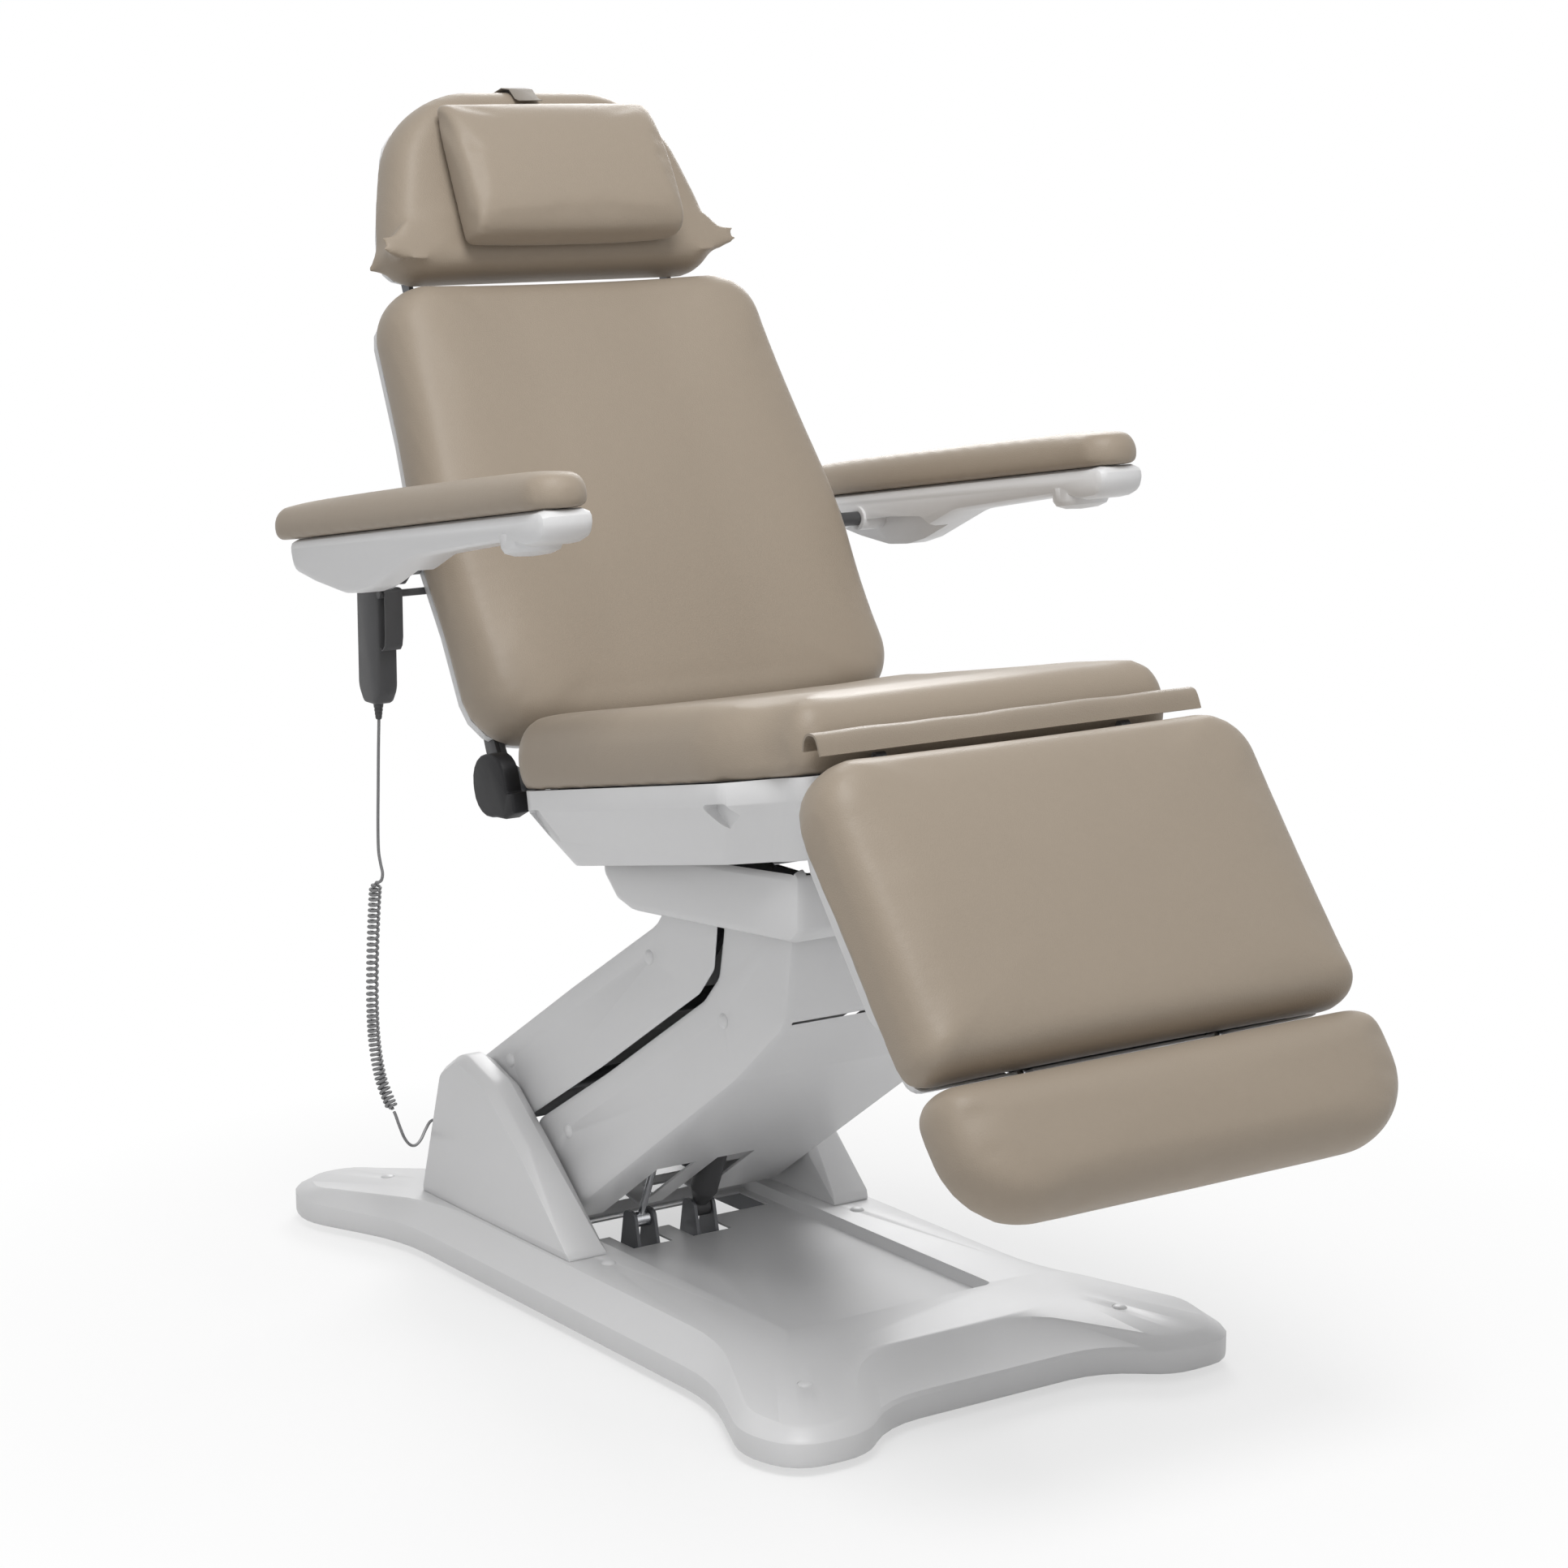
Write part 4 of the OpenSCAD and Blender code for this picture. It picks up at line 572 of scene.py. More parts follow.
JACKET = Finish(
    "Grey cord jacket", "cord_jacket", (0.235, 0.235, 0.24), Relief.MOULDED,
    (("Grain", 1500.0), ("Wave", 0.2)), depth=0.00012, rough=(0.4, 0.55),
    amount=0.18, edge=0.5, size=25.0)
STRAP_WEAVE = Finish(
    "Elastic strap", "vinyl", (0.24, 0.21, 0.175), Relief.BRUSHED,
    (("Lines", 1700.0), ("Length", 500.0)), depth=0.0005, rough=(0.6, 0.75),
    amount=0.2, edge=0.3, size=30.0, sheen=0.2)


# Rigid pieces

# Packed points that lie closer than this, in metres, are one point
JOINED = 3e-5
# A face whose corners all lie within this of a plane, in metres, belongs to its flat
FLAT_PLAY = 0.05 * MM
# Two faces that turn by more than this lie folded on each other
FOLDED = math.radians(150)
# Faces that turn by less than this become one
LEVEL = math.radians(0.6)

BODY_OF: dict[str, str] = {node: body
                           for body, nodes in frame["record"]["behaviour"]["bodies"].items()
                           for node in nodes}


def settle(piece: Object, nodes: Sequence[str]) -> Object:
    """Let the piece stand for its CAD nodes and ride on their body."""
    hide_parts(*nodes)
    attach(piece, BODY_OF[nodes[0]])
    LOG.info("%s: %d faces", piece.name, len(piece.data.polygons) if piece.type == "MESH" else 0)
    return piece


def flat_round(face: bmesh.types.BMFace) -> dict[bmesh.types.BMFace, None]:
    """Return the joined faces that lie in one plane with this face, in a fixed order."""
    normal, origin = face.normal.copy(), face.verts[0].co.copy()
    group, queue = {}, [face]
    while queue:
        found = queue.pop()
        if found in group or any(abs((v.co - origin).dot(normal)) > FLAT_PLAY for v in found.verts):
            continue
        group[found] = None
        queue += [near for edge in found.edges for near in edge.link_faces]
    return group


def is_folded(edge: bmesh.types.BMEdge) -> bool:
    """Return whether the edge's two faces lie folded on each other."""
    return len(edge.link_faces) == 2 and edge.calc_face_angle(0.0) > FOLDED


def refill_flats(bm: bmesh.types.BMesh) -> None:
    """Fill each flat anew in which a triangle lies folded back over the others.

    Args:
        bm: Triangles, changed in place.
    """
    bm.normal_update()
    for edge in [e for e in bm.edges if is_folded(e)]:
        if not edge.is_valid or not is_folded(edge):
            continue
        group = flat_round(max(edge.link_faces, key=lambda f: f.calc_area()))
        normal = sum((f.normal * f.calc_area() for f in group), Vector()).normalized()
        edges = dict.fromkeys(e for f in group for e in f.edges)
        rim = [e for e in edges if sum(f in group for f in e.link_faces) == 1]
        inner = [e for e in edges
                 if all(f in group for f in e.link_faces) and len(e.link_faces) > 1]
        bmesh.ops.delete(bm, geom=list(group), context="FACES_ONLY")
        bmesh.ops.delete(bm, geom=inner, context="EDGES")
        made = bmesh.ops.triangle_fill(bm, use_beauty=True, use_dissolve=False,
                                       edges=[e for e in rim if e.is_valid], normal=normal)
        for part in made["geom"]:
            if isinstance(part, bmesh.types.BMFace):
                part.normal_update()
                if part.normal.dot(normal) < 0:
                    part.normal_flip()


class Edge(Enum):
    """How a rigid piece gets its edges."""

    PACKED = "as packed"
    BEVELLED = "bevelled"


@dataclass(frozen=True)
class Moulding:
    """A rigid piece whose CAD form stays, with its edges and its finish.

    Attributes:
        node: The CAD node.
        finish: Its finish.
        edge: How its edges are made.
        width: Width of a bevel in mm.
        angle: Smallest turn in degrees that counts as an edge.
    """

    node: str
    finish: Finish
    edge: Edge = Edge.PACKED
    width: float = 1.0
    angle: float = 33.0

    def build(self) -> None:
        """Dress the CAD mesh, or a copy of it with bevelled edges."""
        source = frame["nodes"][self.node]
        if self.edge is Edge.PACKED:
            source.data.materials.clear()
            source.data.materials.append(self.finish.material())
            return
        bm = bmesh.new()
        bm.from_mesh(source.data)
        bmesh.ops.remove_doubles(bm, verts=bm.verts, dist=JOINED)
        refill_flats(bm)
        bmesh.ops.dissolve_limit(bm, angle_limit=LEVEL, verts=bm.verts, edges=bm.edges)
        bm.verts.index_update()
        vertices = np.array([v.co for v in bm.verts])
        faces = [[v.index for v in f.verts] for f in bm.faces]
        bm.free()
        piece = new_object(f"{self.node}_moulding", vertices, faces)
        turn = math.radians(self.angle)
        add_modifier(piece, "BEVEL", width=self.width * MM, segments=2, limit_method="ANGLE",
                     angle_limit=turn, use_clamp_overlap=True)
        bake_modifiers(piece)
        shade_smooth(piece.data)
        piece.data.set_sharp_from_angle(angle=turn)
        self.finish.dress(piece)
        settle(piece, [self.node])


# Finish, width of the bevel in mm and nodes
BEVELLED: tuple[tuple[Finish, float, tuple[str, ...]], ...] = (
    (WHITE, 1.2, ("base_cover", "lift_arm_cover", "upper_link_cover", "carriage_cover",
                  "armrest_casing_right", "armrest_casing_left")),
    (WHITE, 1.0, ("seat_tray", "back_shell", "head_shell", "leg_shell", "foot_shell")),
    (WHITE, 1.5, ("tower_right", "tower_left")),
    (BLACK, 0.8, ("hinge_housings",)),
    (GREY, 0.8, ("hinge_plates",)),
    (GREY, 0.6, ("handset_body",)),
    (BLACK, 0.6, ("levelling_feet",)),
    (GREY, 0.6, ("armrest_brackets",)),
    (GREY, 0.4, ("handset_clip",)),
    (BLACK, 0.3, ("mains_inlet",)),
)
AS_PACKED: tuple[tuple[Finish, tuple[str, ...]], ...] = (
    (FRAME, ("base_frame", "lift_arm_frame", "upper_link_frame", "carriage_frame", "seat_frame",
             "back_frame", "leg_frame", "head_bracket")),
    (ROD, ("lift_actuator_rod", "gas_strut_rod", "foot_slide")),
    (GREY, ("lift_actuator", "handset_hook", "strain_relief")),
    (BLACK, ("gas_strut_tube", "cord_gland")),
    (KEY_RUBBER, ("handset_key_1", "handset_key_2", "handset_key_3", "handset_key_4")),
)
RIGID: tuple[Moulding, ...] = (
    *(Moulding(node, finish, Edge.BEVELLED, width)
      for finish, width, nodes in BEVELLED for node in nodes),
    *(Moulding(node, finish) for finish, nodes in AS_PACKED for node in nodes),
)


@dataclass
class DomedPlugs:
    """Domed plugs over the cover screws, one geometry-node tree for all of them.

    Attributes:
        radius: Radius of a dome in mm.
        height: Its height in mm.
        rim: Thickness of the ring round its foot in mm.
    """

    radius: float = 9.5
    height: float = 4.0
    rim: float = 0.7

    @property
    def sizes(self) -> dict[str, float]:
        """Return the sizes in metres, under the names of the tree's inputs."""
        return {"Radius": self.radius * MM, "Height": self.height * MM, "Rim": self.rim * MM}

    @cached_property
    def tree(self) -> Tree:
        """Build the tree that puts a dome and its rim on every point, turned to its facing."""
        tree = bpy.data.node_groups.new("Domed plugs", "GeometryNodeTree")
        socket = tree.interface.new_socket
        socket("Geometry", in_out="INPUT", socket_type="NodeSocketGeometry")
        for label, value in self.sizes.items():
            socket(label, in_out="INPUT", socket_type="NodeSocketFloat").default_value = value
        socket("Material", in_out="INPUT", socket_type="NodeSocketMaterial")
        socket("Geometry", in_out="OUTPUT", socket_type="NodeSocketGeometry")
        enter, leave = tree.nodes.new("NodeGroupInput"), tree.nodes.new("NodeGroupOutput")
        node, radius = partial(add_node, tree), enter.outputs["Radius"]
        # The dome is a flattened ball with its lower half pressed flat
        ball = node("GeometryNodeMeshUVSphere", Segments=32, Rings=16, Radius=1.0)
        size = node("ShaderNodeCombineXYZ", X=radius, Y=radius, Z=enter.outputs["Height"])
        scaled = node("GeometryNodeTransform", Geometry=ball.outputs["Mesh"], Scale=size.outputs[0])
        place = node("GeometryNodeInputPosition")
        split = node("ShaderNodeSeparateXYZ", Vector=place.outputs[0])
        floor = node("ShaderNodeMath", operation="MAXIMUM")
        floor.inputs[1].default_value = 0.0
        tree.links.new(split.outputs[2], floor.inputs[0])
        flat = node("ShaderNodeCombineXYZ", X=split.outputs[0], Y=split.outputs[1],
                    Z=floor.outputs[0])
        dome = node("GeometryNodeSetPosition", Geometry=scaled.outputs[0], Position=flat.outputs[0])
        circle = node("GeometryNodeCurvePrimitiveCircle", Resolution=40, Radius=radius)
        section = node("GeometryNodeCurvePrimitiveCircle", Resolution=8,
                       Radius=enter.outputs["Rim"])
        ring = node("GeometryNodeCurveToMesh", Curve=circle.outputs["Curve"],
                    Profile_Curve=section.outputs["Curve"])
        both = node("GeometryNodeJoinGeometry")
        link_all(tree, (dome.outputs[0], both.inputs[0]), (ring.outputs[0], both.inputs[0]))
        facing = node("GeometryNodeInputNamedAttribute", data_type="FLOAT_VECTOR", Name="facing")
        turn = node("FunctionNodeAlignRotationToVector", axis="Z",
                    Vector=facing.outputs["Attribute"])
        plugs = node("GeometryNodeInstanceOnPoints", Points=enter.outputs["Geometry"],
                     Instance=both.outputs[0], Rotation=turn.outputs[0])
        real = node("GeometryNodeRealizeInstances", Geometry=plugs.outputs[0])
        finish = node("GeometryNodeSetMaterial", Geometry=real.outputs[0],
                      Material=enter.outputs["Material"])
        tree.links.new(finish.outputs[0], leave.inputs[0])
        return tree

    def build(self, node: str,
              spots: Sequence[tuple[Sequence[float], Sequence[float]]]) -> Object:
        """Put a plug on each spot.

        Args:
            node: CAD node that the plugs stand for.
            spots: Place in mm and facing of each plug.

        Returns:
            The plugs as one piece.
        """
        places = np.array([(p[0], p[1] + BASE_Y, p[2]) for p, _ in spots]) * MM
        mesh = bpy.data.meshes.new(f"{node}_domes")
        mesh.from_pydata([tuple(map(float, p)) for p in places], [], [])
        facing = mesh.attributes.new("facing", "FLOAT_VECTOR", "POINT")
        facing.data.foreach_set("vector", [float(c) for _, f in spots for c in f])
        piece = linked_object(f"{node}_domes", mesh)
        modifier = piece.modifiers.new("Domes", "NODES")
        modifier.node_group = self.tree
        sockets = {s.name: s.identifier for s in self.tree.interface.items_tree
                   if s.in_out == "INPUT"}
        for label, value in (*self.sizes.items(), ("Material", WHITE.material())):
            modifier[sockets[label]] = value
        bake_modifiers(piece)
        shade_smooth(piece.data)
        return settle(piece, [node])

    def build_all(self) -> None:
        """Put the plugs on the plinth, the arm cover and the link cover."""
        plinth = [((x * 250, y * 525, 66.2), (0, 0, 1)) for x in (-1, 1) for y in (-1, 1)]
        plinth += [((x * 206, -6, 72.2), (0, 0, 1)) for x in (-1, 1)]
        self.build("plinth_plugs", plinth)
        for node, half, spots in (("lift_arm_plugs", 184.2, ((-250, 456), (129, 220))),
                                  ("upper_link_plugs", 189.7, ((-85.5, 507.5), (272, 289)))):
            self.build(node, [((x * half, y, z), (x, 0, 0)) for x in (-1, 1) for y, z in spots])


# Upholstery

# How far a pad starts inside its plan in mm, unstuffed and before it is stuffed
STUFFED_INSET = 1.4
# Share of that which its height loses
INSET_HEIGHT = 0.7
# A pad's side: the levels near its foot, the top of its upright part, both as shares of its
# height, and how far the foot draws in, as a share of the shoulder
FOOT_LEVELS = (0.0, 0.06, 0.14, 0.24)
SIDE = 0.4
TUCK = 0.3
# Sizes of the rings from the shoulder to the middle
TOP_RINGS = (1.0, 0.93, 0.84, 0.73, 0.6, 0.46, 0.32, 0.18, 0.06)
# A pad's points stay at least this far above its underside, in mm
LOWEST = 0.3
# Height in mm below which a pad is held while it is stuffed
HELD = 3.0
CLOTH_FRAMES = 20
CLOTH = {"quality": 4, "mass": 0.35, "tension_stiffness": 18, "compression_stiffness": 18,
         "bending_stiffness": 1.5, "use_pressure": True, "uniform_pressure_force": 4.0,
         "vertex_group_mass": "held"}


@dataclass
class Cushion:
    """A stuffed pad with drawn-in sides, a rounded shoulder and a crown.

    Attributes:
        node: CAD node that it stands for.
        plane: The plane that it lies on.
        plan: Its outline on that plane, in mm.
        thick: Height of its shoulder.
        shoulder: How far the shoulder draws in.
        crown: Rise of its middle above the shoulder.
        voxel: Mesh size for the stuffing, in mm.
        cap: How far the stuffing may move a point, in mm.
        fill: Share of stuffing; not used.
        shape: Extra form, given pad coordinates and returning them moved.
    """

    node: str
    plane: Plane
    plan: np.ndarray
    thick: float
    shoulder: float
    crown: float
    voxel: float
    cap: float
    fill: float = 0.8
    shape: Callable[[np.ndarray], np.ndarray] | None = None

    def rings(self, smaller: float) -> np.ndarray:
        """Return the pad's rings in pad coordinates, drawn in all round by smaller."""
        levels = [(TUCK * ((SIDE - u) / SIDE) ** 4, u) for u in FOOT_LEVELS]
        levels += [(1 - math.cos(a), SIDE + (1 - SIDE) * math.sin(a))
                   for a in np.radians(np.linspace(0, 84, 11))]
        plan = inset(self.plan, smaller)
        height = self.thick - smaller * INSET_HEIGHT
        made = [np.column_stack([inset(plan, self.shoulder * d), np.full(len(plan), u * height)])
                for d, u in levels]
        top = inset(plan, self.shoulder)
        middle = top.mean(axis=0)
        for f in TOP_RINGS:
            level = np.full(len(plan), height + self.crown * (1 - f * f))
            made.append(np.column_stack([middle + f * (top - middle), level]))
        return np.array(made)

    def shell(self) -> Object:
        """Make the closed pad before it is stuffed."""
        rings = self.rings(STUFFED_INSET)
        points = self.plane.place(rings.reshape(-1, 3))
        piece = new_object(f"{self.node}_upholstery", points, ring_faces(*rings.shape[:2]))
        add_modifier(piece, "REMESH", mode="VOXEL", voxel_size=self.voxel * MM)
        bake_modifiers(piece)
        return piece

    def stuff(self, piece: Object) -> None:
        """Give the pad its cloth and the air that fills it."""
        heights = self.plane.back_to_pad(coordinates(piece.data))[:, 2]
        held = piece.vertex_groups.new(name="held")
        held.add([int(i) for i in np.nonzero(heights < HELD)[0]], 1.0, "REPLACE")
        cloth = piece.modifiers.new("Stuffing", "CLOTH")
        for name, value in CLOTH.items():
            setattr(cloth.settings, name, value)
        cloth.settings.effector_weights.gravity = 0.0
        cloth.collision_settings.use_collision = False
        cloth.collision_settings.use_self_collision = False
        cloth.point_cache.frame_start = 1
        cloth.point_cache.frame_end = CLOTH_FRAMES

    def take_shape(self, piece: Object, start: np.ndarray) -> None:
        """Bake the stuffing, with a limit to how far it moves a point, and smooth the pad."""
        bake_modifiers(piece)
        moved = coordinates(piece.data) - start
        length = np.linalg.norm(moved, axis=1)
        moved *= np.minimum(1.0, self.cap * MM / np.maximum(length, 1e-9))[:, None]
        set_coordinates(piece.data, start + moved)
        bm = bmesh.new()
        bm.from_mesh(piece.data)
        for _ in range(3):
            bmesh.ops.smooth_vert(bm, verts=bm.verts, factor=0.5, use_axis_x=True,
                                  use_axis_y=True, use_axis_z=True)
        bm.to_mesh(piece.data)
        bm.free()

    def finish(self, piece: Object, start: np.ndarray) -> None:
        """Shape the pad, keep its underside flat and dress it.

        Args:
            piece: The pad, with its cloth if it was stuffed.
            start: Its points before the stuffing.
        """
        if piece.modifiers:
            self.take_shape(piece, start)
        pad = self.plane.back_to_pad(coordinates(piece.data))
        if self.shape:
            pad = self.shape(pad)
        pad[:, 2] = np.maximum(pad[:, 2], LOWEST)
        set_coordinates(piece.data, self.plane.place(pad))
        piece.vertex_groups.clear()
        shade_smooth(piece.data)
        VINYL.dress(piece)
        settle(piece, [self.node])
        add_modifier(piece, "SUBSURF", levels=1, render_levels=1)


@dataclass
class Bolster(Cushion):
    """A cushion drawn across from one section, with flat end panels.

    Its plan is the section, up the plane and out from it, its thick the width, its shoulder the
    seams' radius and its crown the swelling of the middle.
    """

    def rings(self, smaller: float) -> np.ndarray:
        """Return the sections from one end to the other, drawn in all round by smaller."""
        half, seam = self.thick / 2 - smaller, self.shoulder
        turns = np.radians((80, 60, 40, 20, 0))
        ends = [(half - seam * (1 - math.sin(a)), seam * (1 - math.cos(a))) for a in turns]
        stations = [(-x, d) for x, d in ends]
        stations += [(x, 0.0) for x in np.linspace(seam - half, half - seam, 17)[1:-1]]
        stations += [(x, d) for x, d in reversed(ends)]
        section = inset(self.plan, smaller)
        made = []
        for x, drawn in stations:
            ring = inset(section, drawn - self.crown * (1 - (x / half) ** 2))
            made.append(np.column_stack([np.full(len(ring), x), ring]))
        return np.array(made)


class Upholstery:
    """All padded pieces, stuffed together in one run of the cloth."""

    # The pillow's section, up the head part and out from it: its curved side and its flat back
    pillow_curve = ((1655, 2), (1657, 12), (1648, 27), (1622, 42), (1582, 54), (1536, 61),
                    (1492, 63), (1463, 58), (1448, 42), (1446, 20), (1449, 2))
    pillow_back = (1450, 1654)
    # From the back cushion's foot to its top
    back_span = (705, 1382)

    def __init__(self) -> None:
        """Set the pads' sizes."""
        wide = HALF_SEAT
        low, high = self.back_span
        back = outline([(-wide, low), (wide, low), (wide, 1005), (300, high), (-300, high),
                        (-wide, 1005)], [84, 84, 900, 76, 76, 900], 12, 8, 3)
        head = outline([(-268, 1419), (268, 1419), (264, 1495), (216, 1655), (118, 1695),
                        (-118, 1695), (-216, 1655), (-264, 1495)],
                       [48, 48, 400, 150, 150, 150, 150, 400], 10, 3)
        seat = outline([(-291, -720), (291, -720), (291, -656), (wide, -590), (wide, -88),
                        (-wide, -88), (-wide, -590), (-291, -656)],
                       [38, 38, 80, 165, 62, 62, 165, 80], 10, 6)
        curve = smooth_route([(0, v, w) for v, w in self.pillow_curve], 4)[:, 1:]
        flat = np.column_stack([np.linspace(*self.pillow_back, 18), np.full(18, 1.0)])
        self.pads = [
            Cushion("seat_cushion", Plane(SEAT_LEAN, 718, False), seat, thick=92, shoulder=36,
                    crown=7, voxel=9.0, cap=4.0, fill=0.75, shape=self.seat_dish),
            Cushion("back_cushion", Plane(BACK_LEAN, -284, True), back, thick=88, shoulder=34,
                    crown=9, voxel=9.0, cap=4.0, shape=self.back_dish),
            Cushion("head_cushion", Plane(HEAD_LEAN, -103, True), head, thick=80, shoulder=30,
                    crown=5, voxel=7.0, cap=0.3),
            Bolster("pillow", Plane(HEAD_LEAN, -189, True), np.vstack([flat, curve]), thick=340,
                    shoulder=7, crown=1.5, voxel=6.0, cap=3.0, fill=0.7),
            Cushion("leg_cushion", Plane(LEG_LEAN, -966, True),
                    box_outline(wide, -105, 308, [34, 34, 76, 76], 10, 8, 2),
                    thick=84, shoulder=30, crown=8, voxel=9.0, cap=4.0),
            Cushion("foot_cushion", Plane(LEG_LEAN, -966, True),
                    box_outline(wide, -281, -109, [100, 100, 38, 38], 12, 4),
                    thick=84, shoulder=34, crown=6, voxel=8.0, cap=4.0),
        ]
        for side, name in ((-1, "right"), (1, "left")):
            self.pads.append(Cushion(
                f"armrest_pad_{name}", Plane(ARM_LEAN, 1073.5, False, side * 430.0),
                box_outline(45, -470, 244, [43, 43, 26, 26], 10, 10),
                thick=45, shoulder=20, crown=3.5, voxel=6.0, cap=3.0))

    @staticmethod
    def seat_dish(pad: np.ndarray) -> np.ndarray:
        """Press the seat's middle in, as use leaves it."""
        middle, reach, depth = -400, 290, 11.0
        u = np.clip(1 - (pad[:, 0] / reach) ** 2, 0, 1)
        u *= np.clip(1 - ((pad[:, 1] - middle) / reach) ** 2, 0, 1)
        top = np.clip((pad[:, 2] - 60) / 30, 0, 1)
        pad[:, 2] -= depth * u ** 0.8 * top
        return pad

    @staticmethod
    def back_dish(pad: np.ndarray) -> np.ndarray:
        """Press the back's middle in between its soft side bolsters."""
        hollow, slope, depth = 95, 165, 14.0
        low, high = Upholstery.back_span
        side = np.clip((np.abs(pad[:, 0]) - hollow) / slope, 0, 1)
        middle = 1 - side * side * (3 - 2 * side)
        ends = np.clip(np.minimum(pad[:, 1] - low, high - pad[:, 1]) / 60, 0, 1)
        top = np.clip((pad[:, 2] - 55) / 35, 0, 1)
        pad[:, 2] -= depth * middle * top * (0.6 + 0.4 * ends)
        return pad

    def build(self) -> None:
        """Make, stuff and dress the pads."""
        pieces = [pad.shell() for pad in self.pads]
        starts = [coordinates(piece.data) for piece in pieces]
        for pad, piece in zip(self.pads, pieces):
            pad.stuff(piece)
        for step in range(1, CLOTH_FRAMES + 1):
            bpy.context.scene.frame_set(step)
        for pad, piece, start in zip(self.pads, pieces, starts):
            pad.finish(piece, start)
        bpy.context.scene.frame_set(1)


@dataclass
class KneeFlap:
    """The vinyl flap over the knee gap, a folded sheet along the seat's front.

    Attributes:
        half: Half of its width in mm.
        thick: Thickness of the sheet in mm.
        drop: How far it lies below the arch in mm.
        hem: Height of its lower edges in mm, which don't ripple.
        stations: Sections across it.
        arch: Its line from back to front, along and up, in mm.
    """

    half: float = 291.0
    thick: float = 3.0
    drop: float = 0.6
    hem: float = 868.0
    stations: int = 61
    arch: tuple[tuple[float, float], ...] = ((-613, 866), (-602, 887), (-586, 889), (-577, 880),
                                             (-575, 866))

    def build(self) -> None:
        """Sweep the arch across the seat and dress it."""
        line = smooth_route([(0.0, y, z) for y, z in self.arch], 5)[:, 1:]
        chord = np.gradient(line, axis=0)
        chord /= np.linalg.norm(chord, axis=1)[:, None]
        inner = line + self.thick * np.stack([chord[:, 1], -chord[:, 0]], axis=1)
        section = np.vstack([line, inner[::-1]])
        rings = []
        for x in np.linspace(-self.half, self.half, self.stations):
            ripple = 0.5 * math.sin(x * 0.021) + 0.4 * math.sin(x * 0.057 + 1.0)
            lift = np.clip((section[:, 1] - self.hem) / 20, 0, 1) * ripple
            rings.append(np.column_stack([np.full(len(section), x), section[:, 0] + BASE_Y,
                                          section[:, 1] - self.drop + lift]))
        points = np.array(rings).reshape(-1, 3) * MM
        piece = new_object("knee_flap_sheet", points, ring_faces(self.stations, len(section)))
        piece.data.set_sharp_from_angle(angle=math.radians(50))
        # Painted shade: the flap wears a darkened copy of the seat's vinyl
        SHADED_FLAP_VINYL.dress(piece)
        settle(piece, ["knee_flap"])


# The elastic strap that holds the pillow, over the head section's top
PILLOW_STRAP = Moulding("pillow_strap", STRAP_WEAVE, Edge.BEVELLED, 0.2, 40.0)


# Cords

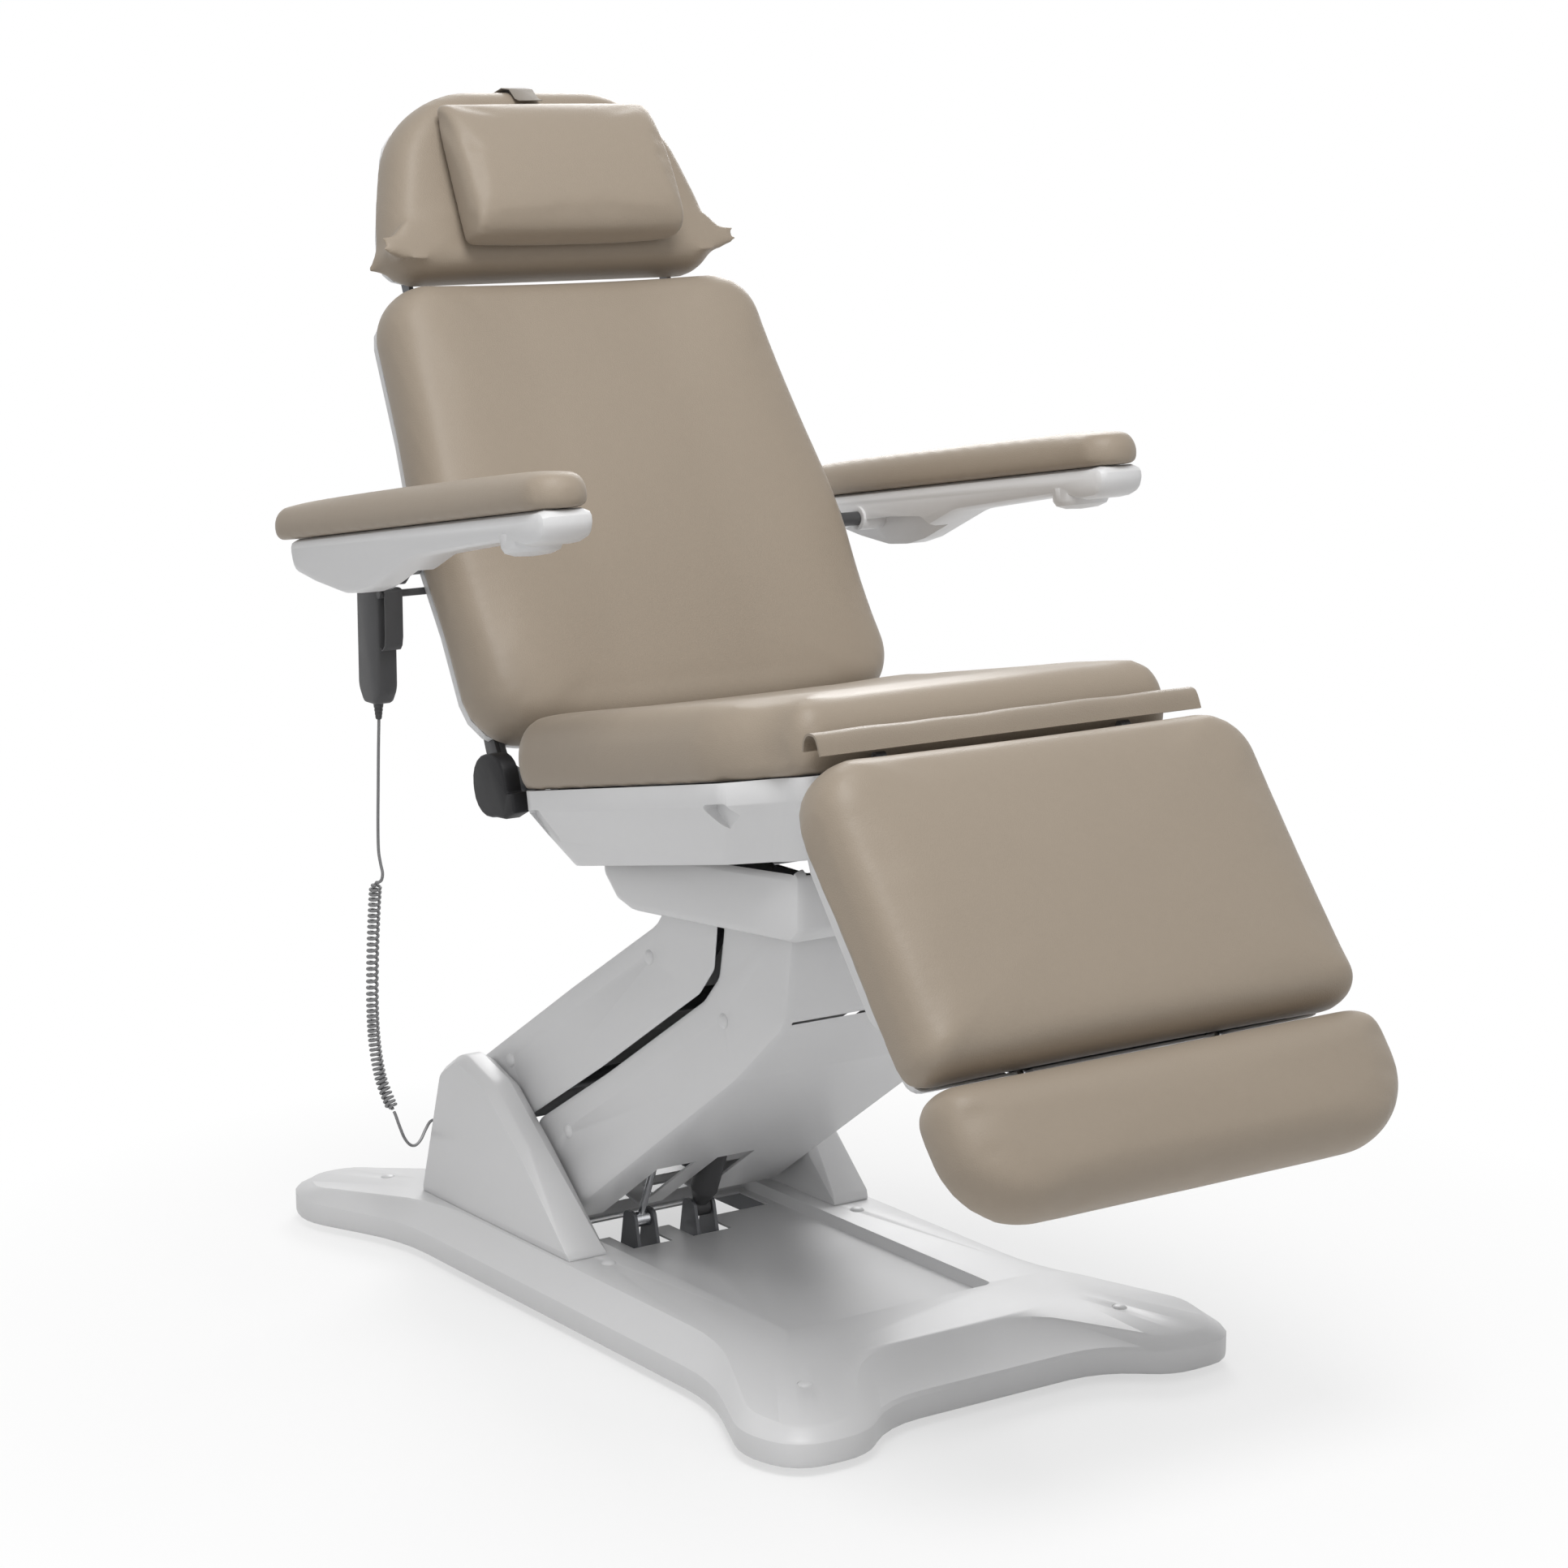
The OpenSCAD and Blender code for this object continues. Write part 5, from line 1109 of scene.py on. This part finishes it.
@dataclass
class Cords:
    """The handset's cord: straight lead, curly part and straight tail into the tower.

    Attributes:
        thick: Diameter of the cord in mm.
        curl: Outer diameter of the curly part in mm.
        count: Number of curls.
        turn: Points in a curl.
        first: Share of the spine at which the curls begin.
        share: Share of the spine that they take up.
        lead: Route of the lead from the handset, in mm.
        spine: Middle line of the curls, in mm.
        tail: Route of the tail down to the tower, in mm.
    """

    thick: float = 4.4
    curl: float = 18.0
    count: int = 44
    turn: int = 16
    first: float = 0.012
    share: float = 0.976
    lead: Route = (
        (-368, 306, 784.4), (-368, 306, 779), (-369, 307, 740), (-370, 308, 690), (-371, 309, 640),
        (-371, 309, 604), (-371, 304, 586), (-371, 299, 574), (-371, 302, 564), (-371, 310, 559),
        (-371, 316.5, 557.6))
    spine: Route = (
        (-371, 319, 557), (-369, 330, 505), (-366, 342, 440), (-361, 354, 372), (-356, 359, 318),
        (-351, 352, 268), (-345, 331, 229))
    tail: Route = (
        (-344.6, 329, 226.5), (-343.8, 326, 222), (-340, 322, 206), (-331, 325, 187),
        (-314, 340, 171), (-292, 364, 161), (-268, 392, 158), (-247, 416, 163), (-233, 427, 170),
        (-226.5, 425.5, 172), (-225, 417.6, 169.9))

    def on_spine(self, share: float) -> np.ndarray:
        """Return a point of the curls' middle line, share of the way down."""
        return on_route(np.array(self.spine, float), share * (len(self.spine) - 1))

    def curls(self) -> list[np.ndarray]:
        """Return the points of the curly part."""
        made = [np.array(self.spine[0], float)]
        steps = self.count * self.turn
        radius = (self.curl - self.thick) / 2
        for i in range(steps + 1):
            v = self.first + self.share * i / steps
            ahead = unit(self.on_spine(v + 0.01) - self.on_spine(v - 0.01))
            side = unit(np.array([1.0, 0, 0]) - ahead * ahead[0])
            other = np.cross(ahead, side)
            grow = min(1.0, i / self.turn, (steps - i) / self.turn)
            reach = radius * grow * grow * (3 - 2 * grow)
            a = 2 * math.pi * i / self.turn
            made.append(self.on_spine(v) + reach * (math.cos(a) * side + math.sin(a) * other))
        made.append(np.array(self.spine[-1], float))
        return made

    def lay(self, name: str, points: np.ndarray, nodes: Sequence[str]) -> None:
        """Args:
            name: Name of the piece.
            points: Points of its middle line in mm, from its exit.
            nodes: CAD nodes that it stands for.
        """
        path = (points + np.array([0, BASE_Y, 0])) * MM
        curve = bpy.data.curves.new(name, "CURVE")
        curve.dimensions = "3D"
        curve.bevel_depth = self.thick / 2 * MM
        curve.bevel_resolution = 2
        curve.use_fill_caps = True
        spline = curve.splines.new("POLY")
        spline.points.add(len(path) - 1)
        spline.points.foreach_set("co", [float(c) for p in path for c in (*p, 1.0)])
        spline.use_smooth = True
        piece = linked_object(name, curve)
        JACKET.dress(piece)
        settle(piece, nodes)

    def build(self) -> None:
        """Lay the lead with its curls, and the tail."""
        upper = np.vstack([smooth_route(self.lead, 6), np.array(self.curls())[1:]])
        self.lay("handset_cord", upper, ["cord_lead", "cord_coil"])
        self.lay("handset_cord_tail", smooth_route(self.tail, 6)[::-1], ["cord_tail"])


# Studio

WHITE_LIGHT = (1.0, 1.0, 1.0, 1.0)
# The point that the lamps aim at
CHAIR_MIDDLE = (0, 0, 0.7)


class Ray(Enum):
    """Light Path outputs that see the white studio."""

    CAMERA = "Is Camera Ray"
    GLOSSY = "Is Glossy Ray"
    TRANSMISSION = "Is Transmission Ray"


def sees_studio(tree: Tree) -> Socket:
    """Return a socket that is one for each ray that shows the white studio."""
    path = add_node(tree, "ShaderNodeLightPath")
    seen = path.outputs[Ray.CAMERA.value]
    for ray in (Ray.GLOSSY, Ray.TRANSMISSION):
        either = add_node(tree, "ShaderNodeMath", operation="MAXIMUM")
        link_all(tree, (seen, either.inputs[0]), (path.outputs[ray.value], either.inputs[1]))
        seen = either.outputs[0]
    return seen


def point(piece: Object, place: Sequence[float], ahead: Vector) -> None:
    """Put a camera or a lamp in its place and turn it to look ahead."""
    piece.location = place
    piece.rotation_mode = "QUATERNION"
    piece.rotation_quaternion = ahead.to_track_quat("-Z", "Y")


@dataclass(frozen=True)
class Lamp:
    """A soft round lamp that is pointed at the chair.

    Attributes:
        name: Its name.
        place: Its place in metres.
        size: Its diameter in metres.
        watts: Its power.
    """

    name: str
    place: tuple[float, float, float]
    size: float
    watts: float

    def hang(self) -> None:
        """Hang the lamp."""
        data = bpy.data.lights.new(self.name, "AREA")
        data.shape = "DISK"
        data.size = self.size
        data.energy = self.watts
        point(linked_object(self.name, data), self.place, Vector(CHAIR_MIDDLE) - Vector(self.place))


@dataclass
class Studio:
    """Camera at the photograph's angle, soft lamps and a pale floor.

    Attributes:
        place: Camera's place in metres.
        yaw: Turn of its view from +Y towards +X, in degrees.
        pitch: Fall of its view in degrees.
        lens: Focal length in mm on a 36 mm sensor.
        even: Strength of the even light on the chair.
        side: Half of the floor's width in metres.
        grey: Darkest and lightest grey of the floor.
        fade: Distances from the chair, in metres, between which the floor turns white.
        whiteness: White share of the floor at those distances.
        lamps: The lamps.
    """

    place: tuple[float, float, float] = (-2.736, -3.871, 1.650)
    yaw: float = 34.92
    pitch: float = 10.98
    lens: float = 85.0
    even: float = 0.34
    side: float = 30.0
    grey: tuple[float, float] = (0.84, 0.88)
    fade: tuple[float, float] = (0.45, 1.35)
    whiteness: tuple[float, float] = (0.6, 1.0)
    lamps: tuple[Lamp, ...] = (
        Lamp("Key", (-0.9, -1.5, 4.0), 2.0, 88.0), Lamp("Side", (-3.2, -1.6, 1.8), 2.0, 10.0),
        Lamp("Fill", (1.6, -3.6, 1.6), 2.6, 3.0), Lamp("Rim", (2.2, 2.8, 2.8), 2.0, 80.0))

    def camera(self) -> None:
        """Place the camera."""
        data = bpy.data.cameras.new("Photograph")
        data.sensor_width = 36.0
        data.lens = self.lens
        data.clip_end = 60.0
        made = linked_object("Photograph", data)
        a, e = math.radians(self.yaw), math.radians(self.pitch)
        ahead = Vector((math.sin(a) * math.cos(e), math.cos(a) * math.cos(e), -math.sin(e)))
        point(made, self.place, ahead)
        bpy.context.scene.camera = made

    def world(self) -> None:
        """Set the studio's white backdrop and its even light."""
        world = bpy.data.worlds.new("Studio")
        bpy.context.scene.world = world
        world.use_nodes = True
        tree = world.node_tree
        tree.nodes.clear()
        even = add_node(tree, "ShaderNodeBackground", Color=WHITE_LIGHT, Strength=self.even)
        white = add_node(tree, "ShaderNodeBackground", Color=WHITE_LIGHT, Strength=1.0)
        mixed = add_node(tree, "ShaderNodeMixShader")
        leave = add_node(tree, "ShaderNodeOutputWorld")
        link_all(tree, (sees_studio(tree), mixed.inputs[0]), (even.outputs[0], mixed.inputs[1]),
                 (white.outputs[0], mixed.inputs[2]), (mixed.outputs[0], leave.inputs[0]))

    def floor(self) -> None:
        """Lay the floor, white to the camera apart from the chair's shadow."""
        corners = np.array(((-1, -1, 0), (1, -1, 0), (1, 1, 0), (-1, 1, 0))) * self.side
        piece = new_object("studio_floor", corners, [(0, 1, 2, 3)])
        made = bpy.data.materials.new("Pale studio floor")
        made.use_nodes = True
        tree = made.node_tree
        shader = tree.nodes["Principled BSDF"]
        shader.inputs["Roughness"].default_value = 0.9
        shader.inputs["Specular IOR Level"].default_value = 0.1
        node = partial(add_node, tree)
        at = node("ShaderNodeTexCoord").outputs["Object"]
        noise = node("ShaderNodeTexNoise", Vector=at, Scale=1.5)
        tint = node("ShaderNodeMapRange", Value=noise.outputs["Fac"], To_Min=self.grey[0],
                    To_Max=self.grey[1]).outputs["Result"]
        grey = node("ShaderNodeCombineColor", Red=tint, Green=tint, Blue=tint)
        glow = node("ShaderNodeEmission", Color=WHITE_LIGHT, Strength=1.0)
        far = node("ShaderNodeVectorMath", operation="LENGTH")
        fade = node("ShaderNodeMapRange", Value=far.outputs["Value"], From_Min=self.fade[0],
                    From_Max=self.fade[1], To_Min=self.whiteness[0], To_Max=self.whiteness[1])
        share = node("ShaderNodeMath", operation="MULTIPLY")
        mixed = node("ShaderNodeMixShader")
        link_all(tree, (grey.outputs[0], shader.inputs["Base Color"]), (at, far.inputs[0]),
                 (sees_studio(tree), share.inputs[0]), (fade.outputs["Result"], share.inputs[1]),
                 (share.outputs[0], mixed.inputs[0]), (shader.outputs[0], mixed.inputs[1]),
                 (glow.outputs[0], mixed.inputs[2]),
                 (mixed.outputs[0], tree.nodes["Material Output"].inputs["Surface"]))
        piece.data.materials.append(made)

    def build(self) -> None:
        """Hang the lamps, set the backdrop and lay the floor."""
        bpy.context.scene.view_settings.view_transform = "Standard"
        self.world()
        self.floor()
        for lamp in self.lamps:
            lamp.hang()


def main() -> None:
    """Build the chair, from its cords to the studio."""
    logging.basicConfig(level=logging.INFO, format="%(message)s")
    studio = Studio()
    studio.camera()
    Cords().build()
    for part in RIGID:
        part.build()
    DomedPlugs().build_all()
    Upholstery().build()
    KneeFlap().build()
    PILLOW_STRAP.build()
    studio.build()


if __name__ == "__main__":
    main()
